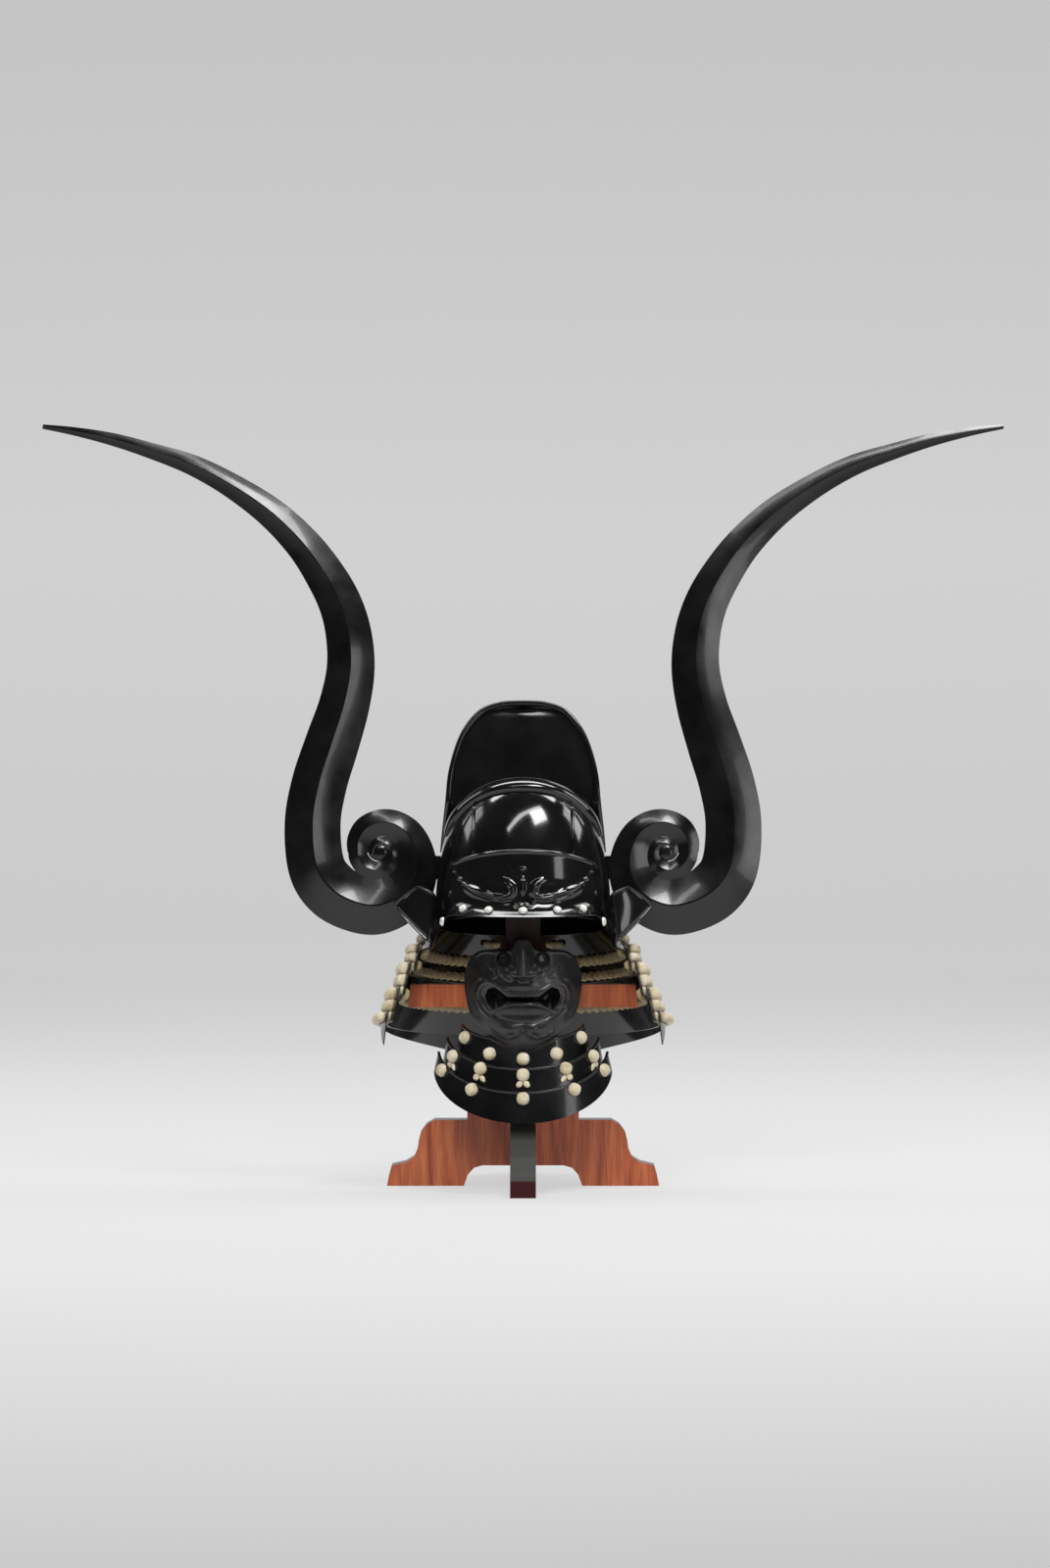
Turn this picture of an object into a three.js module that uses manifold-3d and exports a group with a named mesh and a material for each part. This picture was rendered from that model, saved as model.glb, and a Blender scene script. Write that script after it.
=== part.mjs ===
// Kabuto helmet with side crests, face mask, neck guard and throat guard on a
// crossed-board wooden stand. Millimetres, +Z up, the face looks along -Y.
import * as THREE from "three";
import Module from "manifold-3d";

const wasm = await Module();
wasm.setup();

// Driving dimensions
const GAP = 0.3;
const TILT = 8;
const SEAT_HEIGHT = 330;

const BOWL = { halfWidth: 112, halfLength: 127, height: 186, wall: 3, power: 2.15, sides: 26 };
const CROWN = { halfWidth: 101.5, height: 290, frontGap: 36, backReach: 106, wall: 3 };
const RIM = { width: 7, depth: 7, hollow: 5 };
const BAND = { width: 27, height: 8 };
const RIB = { spread: 62, width: 5, height: 4.5 };
const BROW = {
  halfAngle: 58, top: 83, drop: 14, flare: 21, lip: -5, sag: 23, wall: 2.5, lift: 0.6, rivetLift: 8.5,
};
const BROW_RELIEF = { halfSpan: 75, foot: 12, rise: 32, height: 5 };
const RIVET = { radius: 5.6, height: 3.4, sides: 10, lift: 1.2 };
const LAME = { wall: 2, step: 9.9, frontSteps: 11, topSteps: 12 };
const LACE = { thickness: 5.5, knot: 10 };
const NECK = { drop: 157, footHalfWidth: 186 };
const WING = { wall: 2.5, reach: 49, height: 77 };
const CREST = { span: 1246, height: 651, halfWidth: 36, depthShare: 0.4, edge: 1.3 };
const COIL = { x: 183, z: 94, radius: 72, button: 11 };
const SOCKET = { width: 50, depth: 16, height: 30, y: 8, z: 76 };
const MASK = { halfWidth: 74, height: 137, drop: 14, front: 120, back: 42, sweep: 56, wall: 3.4 };
const MASK_EASE = 1.6;
const RELIEF = 9;
const NOSE = { height: 26, width: 11 };
const THROAT = {
  wall: 2, centre: 52, tipAngle: 85, chinReach: 62, halfWidth: 113, height: 119, drop: 89,
};
const KNOT = { radius: 8.4, height: 7 };
const STAND = { halfLength: 173, board: 32, foot: 26, shoulder: 84, columnHalfWidth: 71 };
const POST = { halfWidth: 22, padHalfWidth: 46, padHeight: 44 };
const CROSSBAR = { halfWidth: 143, drop: 74, depth: 29, flare: 3 };
const LAP = { height: 150, gap: 0.3 };
const MASK_ARM = { drop: 118, depth: 16, root: 35 };

const tilt = THREE.MathUtils.degToRad(TILT);
const radians = THREE.MathUtils.degToRad;

// Colours and finishes
const lacquer = { color: 0x0b0b0d, roughness: 0.22, metalness: 0.3 };
const silver = { color: 0xc9c9c4, roughness: 0.3, metalness: 0.9 };
const silk = { color: 0xd9d2b8, roughness: 0.85, metalness: 0 };
const wood = { color: 0x4a1d12, roughness: 0.45, metalness: 0 };

// Mesh building

// Turns points and triangles into a closed solid that faces outward.
function solid(points, faces) {
  let volume = 0;
  for (const [a, b, c] of faces) {
    const [p, q, r] = [points[a], points[b], points[c]];
    volume += p[0] * (q[1] * r[2] - q[2] * r[1]);
    volume += p[1] * (q[2] * r[0] - q[0] * r[2]);
    volume += p[2] * (q[0] * r[1] - q[1] * r[0]);
  }
  const outward = volume < 0 ? faces.map(([a, b, c]) => [a, c, b]) : faces;
  const mesh = new wasm.Mesh({
    numProp: 3,
    vertProperties: new Float32Array(points.flat()),
    triVerts: new Uint32Array(outward.flat()),
  });
  mesh.merge();
  return new wasm.Manifold(mesh);
}

// A closed solid through rings that all have the same number of points.
function loft(rings) {
  const count = rings[0].length;
  const points = rings.flat();
  const faces = [];
  for (let ring = 0; ring + 1 < rings.length; ring++) {
    for (let i = 0; i < count; i++) {
      const a = ring * count + i;
      const b = ring * count + (i + 1) % count;
      faces.push([a, b, b + count], [a, b + count, a + count]);
    }
  }
  const last = (rings.length - 1) * count;
  const foot = points.push(centreOf(rings[0])) - 1;
  const head = points.push(centreOf(rings.at(-1))) - 1;
  for (let i = 0; i < count; i++) {
    const next = (i + 1) % count;
    faces.push([foot, next, i], [head, last + i, last + next]);
  }
  return solid(points, faces);
}

function centreOf(ring) {
  return [0, 1, 2].map((axis) => ring.reduce((sum, p) => sum + p[axis], 0) / ring.length);
}

// A closed sheet between an outer and an inner grid of points, rows by columns.
function sheet(outer, inner) {
  const rows = outer.length;
  const columns = outer[0].length;
  const points = [...outer.flat(), ...inner.flat()];
  const at = (side, row, column) => (side * rows + row) * columns + column;
  const faces = [];
  const quad = (a, b, c, d) => faces.push([a, b, c], [a, c, d]);
  for (let r = 0; r + 1 < rows; r++) {
    for (let c = 0; c + 1 < columns; c++) {
      quad(at(0, r, c), at(0, r, c + 1), at(0, r + 1, c + 1), at(0, r + 1, c));
      quad(at(1, r, c), at(1, r + 1, c), at(1, r + 1, c + 1), at(1, r, c + 1));
    }
    const e = columns - 1;
    quad(at(0, r, 0), at(0, r + 1, 0), at(1, r + 1, 0), at(1, r, 0));
    quad(at(0, r, e), at(1, r, e), at(1, r + 1, e), at(0, r + 1, e));
  }
  for (let c = 0; c + 1 < columns; c++) {
    const e = rows - 1;
    quad(at(0, 0, c), at(1, 0, c), at(1, 0, c + 1), at(0, 0, c + 1));
    quad(at(0, e, c), at(0, e, c + 1), at(1, e, c + 1), at(1, e, c));
  }
  return solid(points, faces);
}

// A straight prism: place turns (u, v, w) into a point, w runs from one face to the other.
function prism(outline, from, to, place) {
  const flat = outline.map(([u, v]) => new THREE.Vector2(u, v));
  const count = flat.length;
  const points = [from, to].flatMap((w) => outline.map(([u, v]) => place(u, v, w)));
  const faces = [];
  for (const [a, b, c] of THREE.ShapeUtils.triangulateShape(flat, [])) {
    faces.push([a, c, b], [a + count, b + count, c + count]);
  }
  const winding = THREE.ShapeUtils.isClockWise(flat);
  for (let i = 0; i < count; i++) {
    const j = (i + 1) % count;
    if (winding) faces.push([i, j + count, j], [i, i + count, j + count]);
    else faces.push([i, j, j + count], [i, j + count, i + count]);
  }
  return solid(points, faces);
}

function block(width, depth, height, x, y, z) {
  const [w, d] = [width / 2, depth / 2];
  const outline = [[-w, -d], [w, -d], [w, d], [-w, d]];
  return prism(outline, z - height / 2, z + height / 2, (u, v, h) => [x + u, y + v, h]);
}

// A low dome on a flat round base, turned about an axis that leaves the base.
function dome(radius, height, sides, base, axis) {
  const up = new THREE.Vector3(...axis).normalize();
  const turn = new THREE.Quaternion().setFromUnitVectors(new THREE.Vector3(0, 0, 1), up);
  const rings = [[1, 0], [0.82, 0.62], [0.3, 1]].map(([share, rise]) =>
    range(sides).map((i) => {
      const angle = (2 * Math.PI * i) / sides;
      const point = new THREE.Vector3(
        share * radius * Math.cos(angle), share * radius * Math.sin(angle), rise * height);
      return point.applyQuaternion(turn).add(new THREE.Vector3(...base)).toArray();
    }));
  return loft(rings);
}

function range(count) {
  return [...Array(count).keys()];
}

// count values from a to b, both included.
function spread(a, b, count) {
  return range(count).map((i) => a + ((b - a) * i) / (count - 1));
}

// Straight-line reading of a table whose first column rises.
function read(table, key, column) {
  const last = table.length - 1;
  if (key <= table[0][0]) return table[0][column];
  for (let i = 0; i < last; i++) {
    const [low, high] = [table[i], table[i + 1]];
    if (key <= high[0]) {
      const share = (key - low[0]) / (high[0] - low[0]);
      return low[column] + share * (high[column] - low[column]);
    }
  }
  return table[last][column];
}

function smooth(rows, steps) {
  const curve = new THREE.CatmullRomCurve3(rows.map(([a, b, c]) => new THREE.Vector3(a, b, c)));
  return curve.getPoints(steps).map((p) => p.toArray());
}

function mirror(shape) {
  return shape.mirror([1, 0, 0]);
}

function node(name, shape, finish) {
  const data = shape.getMesh();
  const geometry = new THREE.BufferGeometry();
  geometry.setAttribute("position", new THREE.BufferAttribute(data.vertProperties, 3));
  geometry.setIndex(new THREE.BufferAttribute(data.triVerts, 1));
  geometry.computeVertexNormals();
  const mesh = new THREE.Mesh(geometry, new THREE.MeshStandardMaterial(finish));
  mesh.name = name;
  return mesh;
}

// Bowl

// Columns: rise as a share of the height, width and length as shares of their halves.
const BOWL_SECTIONS = [
  [0, 1, 1],
  [0.18, 1, 1],
  [0.32, 0.978, 0.98],
  [0.46, 0.947, 0.953],
  [0.575, 0.911, 0.905],
  [0.67, 0.865, 0.85],
  [0.75, 0.8, 0.79],
  [0.82, 0.715, 0.72],
  [0.885, 0.6, 0.635],
  [0.94, 0.455, 0.53],
  [0.978, 0.3, 0.39],
  [0.997, 0.13, 0.18],
];

function oval(angle, halfWidth, halfLength) {
  const bend = 2 / BOWL.power;
  const [s, c] = [Math.sin(angle), Math.cos(angle)];
  return [
    halfWidth * Math.sign(s) * Math.abs(s) ** bend,
    -halfLength * Math.sign(c) * Math.abs(c) ** bend,
  ];
}

// A point on the bowl at an angle from the front, standing off its surface.
function onBowl(angle, z, offset) {
  const share = z / BOWL.height;
  const halfWidth = BOWL.halfWidth * read(BOWL_SECTIONS, share, 1) + offset;
  const halfLength = BOWL.halfLength * read(BOWL_SECTIONS, share, 2) + offset;
  return [...oval(angle, halfWidth, halfLength), z];
}

// The same, found from the sideways place instead of the angle.
function onBowlAt(x, z, offset) {
  const share = z / BOWL.height;
  const halfWidth = BOWL.halfWidth * read(BOWL_SECTIONS, share, 1) + offset;
  const halfLength = BOWL.halfLength * read(BOWL_SECTIONS, share, 2) + offset;
  const across = Math.min(Math.abs(x) / halfWidth, 1);
  return [x, -halfLength * (1 - across ** BOWL.power) ** (1 / BOWL.power), z];
}

function bowlSolid(offset, foot) {
  const rings = BOWL_SECTIONS.map(([rise, width, length]) =>
    range(BOWL.sides).map((i) => {
      const angle = (2 * Math.PI * i) / BOWL.sides;
      const plan = oval(
        angle, BOWL.halfWidth * width + offset, BOWL.halfLength * length + offset);
      return [...plan, rise * BOWL.height + (rise > 0 ? offset : foot)];
    }));
  return loft(rings);
}

const bowl = bowlSolid(0, 0).subtract(bowlSolid(-BOWL.wall, -BOWL.wall)).simplify(0.2);
const bowlClear = bowlSolid(GAP, -60);

// Rear crown

// Columns: height share, half width share, front share of the gap, back share of the reach.
const CROWN_SECTIONS = [
  [0.33, 1.045, 0.1, 0.97],
  [0.42, 1.02, 0.35, 1],
  [0.543, 0.978, 0.75, 0.94],
  [0.658, 0.948, 0.7, 0.85],
  [0.768, 0.879, 0.53, 0.73],
  [0.86, 0.78, 0.38, 0.62],
  [0.934, 0.633, 0.24, 0.49],
  [0.976, 0.49, 0.13, 0.38],
  [1, 0.28, 0.05, 0.3],
];
const CROWN_SIDES = 24;

function crownRing(z, inset, frontInset, backInset) {
  const share = z / CROWN.height;
  const halfWidth = Math.max(CROWN.halfWidth * read(CROWN_SECTIONS, share, 1) - inset, 1);
  const front = -CROWN.frontGap * read(CROWN_SECTIONS, share, 2);
  const back = CROWN.backReach * read(CROWN_SECTIONS, share, 3);
  const middle = Math.min(front + 20, (front + back) / 2);
  return range(CROWN_SIDES).map((i) => {
    const angle = (2 * Math.PI * (i + 0.5)) / CROWN_SIDES;
    const [c, s] = [Math.cos(angle), Math.sin(angle)];
    const bend = s < 0 ? 0.35 : 0.85;
    const x = halfWidth * Math.sign(c) * Math.abs(c) ** (s < 0 ? 0.6 : 0.85);
    const reach = s < 0 ? middle - front - frontInset : back - middle - backInset;
    return [x, middle + Math.max(reach, 1) * Math.sign(s) * Math.abs(s) ** bend, z];
  });
}

function makeCrown() {
  const levels = CROWN_SECTIONS.map(([share]) => share * CROWN.height);
  const outer = loft(levels.map((z) => crownRing(z, 0, 0, 0)));
  const wall = CROWN.wall;
  const inside = levels.map((z) => Math.min(z, CROWN.height - 2 * RIM.width));
  const hollow = loft(inside.slice(0, -1).map((z, i) =>
    crownRing(i ? z : z - 20, wall, RIM.depth + RIM.hollow + wall, wall)));
  const recess = loft(levels.slice(0, -1).map((z, i) => recessRing(z, i)));
  return largest(outer.subtract(hollow).subtract(recess).subtract(bowlClear).simplify(0.3));
}

// The dished front face inside the rim: a slab that reaches well in front of the crown.
function recessRing(z, index) {
  const level = index ? z : z - 20;
  const share = (z + RIM.width) / CROWN.height;
  const halfWidth = CROWN.halfWidth * read(CROWN_SECTIONS, share, 1) - RIM.width;
  const front = -CROWN.frontGap * read(CROWN_SECTIONS, z / CROWN.height, 2);
  const across = [-1, -0.6, -0.2, 0.2, 0.6, 1];
  const dished = across.map((u) =>
    [u * halfWidth, front + RIM.depth + RIM.hollow * (1 - u * u), level]);
  return [...dished, [halfWidth, front - 60, level], [-halfWidth, front - 60, level]];
}

// Crown band and ribs on the front of the bowl

// A strip on the bowl along a path of [angle, z], with a width and a height.
function bowlStrip(path, width, height) {
  const rings = path.map(([angle, z], i) => {
    const ahead = path[Math.min(i + 1, path.length - 1)];
    const behind = path[Math.max(i - 1, 0)];
    const here = new THREE.Vector3(...onBowl(angle, z, 0));
    const along = new THREE.Vector3(...onBowl(...ahead, 0))
      .sub(new THREE.Vector3(...onBowl(...behind, 0))).normalize();
    const out = bowlNormal(angle, z);
    const side = new THREE.Vector3().crossVectors(along, out).normalize();
    return [[-0.5, -3], [0.5, -3], [0.5, height * 0.7], [0.3, height], [-0.3, height],
      [-0.5, height * 0.7]].map(([u, h]) => here.clone()
      .addScaledVector(side, u * width).addScaledVector(out, h).toArray());
  });
  return loft(rings).subtract(bowlClear);
}

function bowlNormal(angle, z) {
  const step = 0.01;
  const around = new THREE.Vector3(...onBowl(angle + step, z, 0))
    .sub(new THREE.Vector3(...onBowl(angle - step, z, 0)));
  const up = new THREE.Vector3(...onBowl(angle, z + 4, 0))
    .sub(new THREE.Vector3(...onBowl(angle, z - 4, 0)));
  const out = new THREE.Vector3().crossVectors(around, up).normalize();
  return out;
}

// Columns: angle from the front in degrees, height share of the bowl.
const BAND_PATH = [
  [-77, 0.61], [-71, 0.69], [-63, 0.765], [-54, 0.83], [-43, 0.875], [-30, 0.9], [-15, 0.913],
  [0, 0.916],
];

function makeBand() {
  const half = BAND_PATH.map(([angle, share]) => [radians(angle), share * BOWL.height]);
  const other = half.slice(0, -1).reverse().map(([angle, z]) => [-angle, z]);
  return bowlStrip([...half, ...other], BAND.width, BAND.height);
}

function angleAt(x, z) {
  const share = z / BOWL.height;
  const halfWidth = BOWL.halfWidth * read(BOWL_SECTIONS, share, 1);
  return Math.asin(Math.min(Math.abs(x) / halfWidth, 1) ** (BOWL.power / 2)) * Math.sign(x);
}

// A rib runs from the brow plate's top edge up to the crown band.
function makeRib(side) {
  const angle = angleAt(RIB.spread, BROW.top);
  const foot = browRow(angle, 0).z + 2 * GAP;
  const top = bandHeightAt(RIB.spread) - BAND.width * 0.5 - 1;
  const path = spread(foot, top, 6).map((z) => [angleAt(side * RIB.spread, z), z]);
  return bowlStrip(path, RIB.width, RIB.height);
}

// The height of the crown band's middle line at a sideways place.
function bandHeightAt(x) {
  const rows = BAND_PATH.map(([angle, share]) => {
    const z = share * BOWL.height;
    return [-Math.abs(onBowl(radians(angle), z, 0)[0]), z];
  });
  return read(rows, -Math.abs(x), 1);
}

// Brow plate with its peak and relief

// Columns: way down the plate, height from lip (0) to top (1), stand-off as a share of the flare.
const BROW_SECTIONS = [
  [0, 1, 0.145], [0.35, 0.7, 0.145], [0.62, 0.42, 0.15], [0.8, 0.24, 0.2], [0.9, 0.12, 0.48],
  [1, 0, 1],
];

function browRow(angle, down) {
  const side = (Math.abs(angle) / radians(BROW.halfAngle)) ** 2;
  const top = BROW.top - BROW.drop * side;
  const lip = BROW.lip + BROW.sag * (0.65 * side - side ** 4);
  const z = lip + (top - lip) * read(BROW_SECTIONS, down, 1);
  const share = read(BROW_SECTIONS, down, 2);
  const flat = BROW_SECTIONS[0][2];
  const flare = BROW.flare * (flat + (share - flat) * (1 - 0.45 * side));
  return { z, offset: flare + BROW.lift };
}

function browPoint(angle, down, depth) {
  const { z, offset } = browRow(angle, down);
  const reach = onBowl(angle, Math.max(z, 0), offset - depth);
  return [reach[0], reach[1], z];
}

function browSheet(columns, depth) {
  const angles = spread(-radians(BROW.halfAngle), radians(BROW.halfAngle), columns);
  return BROW_SECTIONS.map(([down]) => angles.map((angle) => browPoint(angle, down, depth)));
}

// The front of the plate at a sideways place and height.
function onBrow(x, z, lift) {
  let angle = angleAt(x, Math.max(z, 0));
  let offset = 0;
  for (let pass = 0; pass < 8; pass++) {
    const rows = BROW_SECTIONS.map(([down]) => browRow(angle, down)).reverse()
      .map((row) => [row.z, row.offset]);
    offset = read(rows, z, 1);
    const share = Math.max(z, 0) / BOWL.height;
    const halfWidth = BOWL.halfWidth * read(BOWL_SECTIONS, share, 1) + offset;
    angle = Math.asin(Math.min(Math.abs(x) / halfWidth, 1) ** (BOWL.power / 2)) * Math.sign(x);
  }
  const place = onBowlAt(x, Math.max(z, 0), offset + lift);
  return [place[0], place[1], z];
}

// Columns: sideways share of the half span, rise share, width of the ridge in millimetres.
const BROW_RIDGE = [[1, 1, 4], [0.83, 0.71, 9], [0.62, 0.51, 13], [0.4, 0.4, 14], [0.24, 0.46, 9]];
const FURROW_RIDGE = [
  [0.36, 0.99, 6], [0.22, 0.68, 8], [0.15, 0.36, 8], [0.22, 0.14, 7], [0.33, 0.0, 5],
];
const CENTRE_RIDGE = [[0, 0.85, 5], [0, 0.6, 9], [0, 0.3, 6]];

function ridge(rows, side) {
  const places = rows.map(([across, rise, width]) => ({
    x: side * across * BROW_RELIEF.halfSpan,
    z: BROW_RELIEF.foot + rise * BROW_RELIEF.rise,
    width,
  }));
  const rings = places.map((place, i) => {
    const ahead = places[Math.min(i + 1, places.length - 1)];
    const behind = places[Math.max(i - 1, 0)];
    const along = new THREE.Vector2(ahead.x - behind.x, ahead.z - behind.z).normalize();
    const height = BROW_RELIEF.height * (i % (places.length - 1) ? 1 : 0.4);
    return [[-0.5, -1.5], [-0.2, height], [0.2, height], [0.5, -1.5]].map(([u, lift]) =>
      onBrow(place.x - along.y * u * place.width, place.z + along.x * u * place.width, lift));
  });
  return loft(rings);
}

function makeBrow() {
  const columns = 19;
  let plate = sheet(browSheet(columns, 0), browSheet(columns, BROW.wall));
  for (const side of [-1, 1]) {
    plate = plate.add(ridge(BROW_RIDGE, side)).add(ridge(FURROW_RIDGE, side));
  }
  return plate.add(ridge(CENTRE_RIDGE, 1)).subtract(bowlClear).simplify(0.14);
}

// Rivets: sideways place as a share of the bowl's half width.
const RIVET_PLACES = [-0.89, -0.665, -0.38, 0, 0.38, 0.665, 0.89];

function makeRivet(share) {
  const x = share * BOWL.halfWidth;
  const angle = Math.min(Math.abs(angleAt(x, 0)), radians(BROW.halfAngle));
  const { z: lip } = browRow(angle, 1);
  const z = lip + BROW.rivetLift;
  const low = new THREE.Vector3(...onBrow(x, z - 4, 0));
  const high = new THREE.Vector3(...onBrow(x, z + 4, 0));
  const left = new THREE.Vector3(...onBrow(x - 3, z, 0));
  const right = new THREE.Vector3(...onBrow(x + 3, z, 0));
  const out = new THREE.Vector3().crossVectors(right.sub(left), high.sub(low)).normalize();
  const base = new THREE.Vector3(...onBrow(x, z, 0)).addScaledVector(out, RIVET.lift);
  return dome(RIVET.radius, RIVET.height, RIVET.sides, base.toArray(), out.toArray());
}

// Neck guard: lames, their lacing and the turned-back wings

// Half width at the foot as a share of the neck's, top and foot heights as shares of its drop.
const LAMES = [
  { name: "neck_lame_top", foot: 0.711, high: 0.064, low: -0.229 },
  { name: "neck_lame_2", foot: 0.771, high: -0.166, low: -0.395 },
  { name: "neck_lame_3", foot: 0.855, high: -0.318, low: -0.592 },
  { name: "neck_lame_4", foot: 0.937, high: -0.522, low: -0.809 },
  { name: "neck_lame_bottom", foot: 1, high: -0.726, low: -1 },
];
// The lacing on each lame: where it starts and ends on the way down, and how far it goes round.
const LACINGS = [[0.5, 0.97, 10], [0.03, 0.97, 11], [0.03, 0.97, 11], [0.03, 0.97, 11],
  [0.03, 0.3, 11]];
// How much of the bottom lame is cut away at its foot: angle from the back, share of its drop.
const FOOT_CUT = [
  [0, 0], [18, 0.1], [42, 0.36], [66, 0.54], [90, 0.66], [99, 0.6], [104, 0.3], [109, 0],
];

// Half width of a lame's top: it clears the lacing of the lame above, there and at its foot.
function lameTop(lame) {
  const index = LAMES.indexOf(lame);
  if (!index) return BOWL.halfWidth + GAP + 0.2 + LAME.wall;
  const above = LAMES[index - 1];
  const seat = LACE.thickness + 2 * GAP + LAME.wall;
  const down = (lame.high - above.high) / (above.low - above.high);
  const lap = (lame.high - above.low) / (lame.high - lame.low);
  const foot = lame.foot * NECK.footHalfWidth;
  const clearFoot = (lameWidth(above, 1) + seat - foot * lap) / (1 - lap);
  return Math.max(lameWidth(above, down) + seat, clearFoot);
}

function lameWidth(lame, down) {
  const top = lameTop(lame);
  return top + (lame.foot * NECK.footHalfWidth - top) * down;
}

// A row of points round the back, a share of the drop down, standing off the lame.
function lameRow(lame, steps, down, offset) {
  const end = radians(steps * LAME.step);
  return spread(-end, end, 2 * steps + 1).map((angle) => onLame(lame, angle, down, offset));
}

function onLame(lame, angle, down, offset) {
  const cut = lame === LAMES.at(-1) ? read(FOOT_CUT, Math.abs(angle) / radians(1), 1) : 0;
  const place = Math.min(down, 1 - cut);
  const width = lameWidth(lame, place) + offset;
  const length = width + BOWL.halfLength - BOWL.halfWidth;
  const z = NECK.drop * (lame.high + (lame.low - lame.high) * place);
  return [width * Math.sin(angle), length * Math.cos(angle), z];
}

function makeLame(lame, index) {
  const steps = index ? LAME.frontSteps : LAME.topSteps;
  const rows = [0, 1];
  const plate = sheet(rows.map((down) => lameRow(lame, steps, down, 0)),
    rows.map((down) => lameRow(lame, steps, down, -LAME.wall)));
  return index ? plate : plate.add(makeWing(1)).add(makeWing(-1)).subtract(bowlClear);
}

// The lacing stands out where its lame shows and lies flat under the next lame.
function makeLacing(lame, index) {
  const [from, to, steps] = LACINGS[index];
  const next = LAMES[index + 1];
  const tucked = next ? (next.high - lame.high) / (lame.low - lame.high) : to;
  const shown = tucked - 2 * LAME.wall / NECK.drop / (lame.high - lame.low);
  const section = [[from, 1], [(from * 3 + shown) / 4, LACE.knot / LACE.thickness],
    [shown, LACE.knot / LACE.thickness]];
  if (next) section.push([tucked, 1], [to, 1]);
  const outer = section.map(([down, share]) =>
    lameRow(lame, steps, down, GAP + LACE.thickness * share));
  const inner = section.map(([down]) => lameRow(lame, steps, down, GAP));
  return sheet(outer, inner).simplify(0.05);
}

// The right wing's inner foot, as shares of the bowl's half width, half length and height.
const WING_FOOT = { x: 1.04, y: -0.567, z: -0.172 };
// Its corners as shares of its reach and height from there.
const WING_CORNERS = {
  innerTop: [-0.13, -0.05, 0.86],
  outerTop: [0.31, 0.12, 1],
  outerFoot: [1, 0.48, 0.7],
  innerFoot: [0, 0, 0],
};

function makeWing(side) {
  const corner = ([across, back, up]) => new THREE.Vector3(
    side * (WING_FOOT.x * BOWL.halfWidth + across * WING.reach),
    WING_FOOT.y * BOWL.halfLength + back * WING.reach,
    WING_FOOT.z * BOWL.height + up * WING.height);
  const [a, b, c, d] = ["innerTop", "outerTop", "outerFoot", "innerFoot"].map((name) =>
    corner(WING_CORNERS[name]));
  const normal = new THREE.Vector3().crossVectors(b.clone().sub(d), c.clone().sub(a)).normalize();
  // The plate starts at the lame's front end, where it is folded outward.
  const end = side * radians(LAME.topSteps * LAME.step);
  const face = (lift) => spread(0, 1, 6).map((v) => {
    const root = new THREE.Vector3(...onLame(LAMES[0], end, v, -LAME.wall / 2));
    const row = spread(0, 1, 5).map((u) => {
      const top = a.clone().lerp(b, u);
      const foot = d.clone().lerp(c, u);
      const bulge = WING.wall * (0.95 * Math.sin(Math.PI * u) + 0.7 * Math.sin(Math.PI * v));
      return top.lerp(foot, v).addScaledVector(normal, lift + bulge);
    });
    return [root.addScaledVector(normal, lift), ...row].map((point) => point.toArray());
  });
  return sheet(face(WING.wall / 2), face(-WING.wall / 2));
}

// Side crests

// Columns: sideways share of the half span, height share, half width share. Tip first.
const CREST_PATH = [
  [1, 1, 0.08], [0.932, 0.99, 0.155], [0.85, 0.973, 0.235], [0.768, 0.949, 0.295],
  [0.686, 0.921, 0.378], [0.604, 0.879, 0.45], [0.522, 0.824, 0.555], [0.455, 0.76, 0.64],
  [0.408, 0.696, 0.722], [0.377, 0.638, 0.775], [0.36, 0.577, 0.822], [0.356, 0.51, 0.858],
  [0.369, 0.437, 0.906], [0.394, 0.359, 0.967], [0.419, 0.281, 0.989], [0.432, 0.203, 0.995],
];
// The coil: angle from the outer side in degrees, ridge radius and half width as shares.
const COIL_OUTER = [
  [-12, 1.15, 1.01], [-38, 1.08, 1.045], [-65, 1.0, 1.02], [-90, 0.955, 0.99],
  [-120, 0.86, 0.9], [-150, 0.735, 0.77], [-180, 0.635, 0.655], [-212, 0.59, 0.575],
  [-242, 0.56, 0.52], [-270, 0.53, 0.485], [-300, 0.49, 0.46], [-330, 0.435, 0.415],
  [-360, 0.393, 0.36],
];
const COIL_INNER = [
  [6, 0.4, 0.33], [-15, 0.385, 0.345], [-45, 0.36, 0.35], [-80, 0.325, 0.325], [-120, 0.28, 0.3],
  [-160, 0.235, 0.28], [-200, 0.2, 0.26], [-240, 0.19, 0.25], [-280, 0.175, 0.24],
  [-320, 0.16, 0.23], [-345, 0.15, 0.21],
];

function coilPoint([angle, radius, width]) {
  const turn = radians(angle);
  return [
    COIL.x + radius * COIL.radius * Math.cos(turn),
    COIL.z + radius * COIL.radius * Math.sin(turn),
    width * CREST.halfWidth,
  ];
}

// Diamond sections with a sharp ridge, front and back, along a path of [x, z, half width].
function crestLoft(path, steps, grow) {
  const places = smooth(path, steps);
  return loft(places.map(([x, z, halfWidth], i) => {
    const ahead = places[Math.min(i + 1, places.length - 1)];
    const behind = places[Math.max(i - 1, 0)];
    const along = new THREE.Vector2(ahead[0] - behind[0], ahead[1] - behind[1]).normalize();
    const wide = halfWidth + grow;
    const deep = CREST.depthShare * halfWidth + CREST.edge + grow;
    const edge = CREST.edge + grow;
    return [[wide, -edge], [wide, edge], [0, deep], [-wide, edge], [-wide, -edge], [0, -deep]]
      .map(([across, y]) => [x - along.y * across, y, z + along.x * across]);
  }));
}

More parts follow.
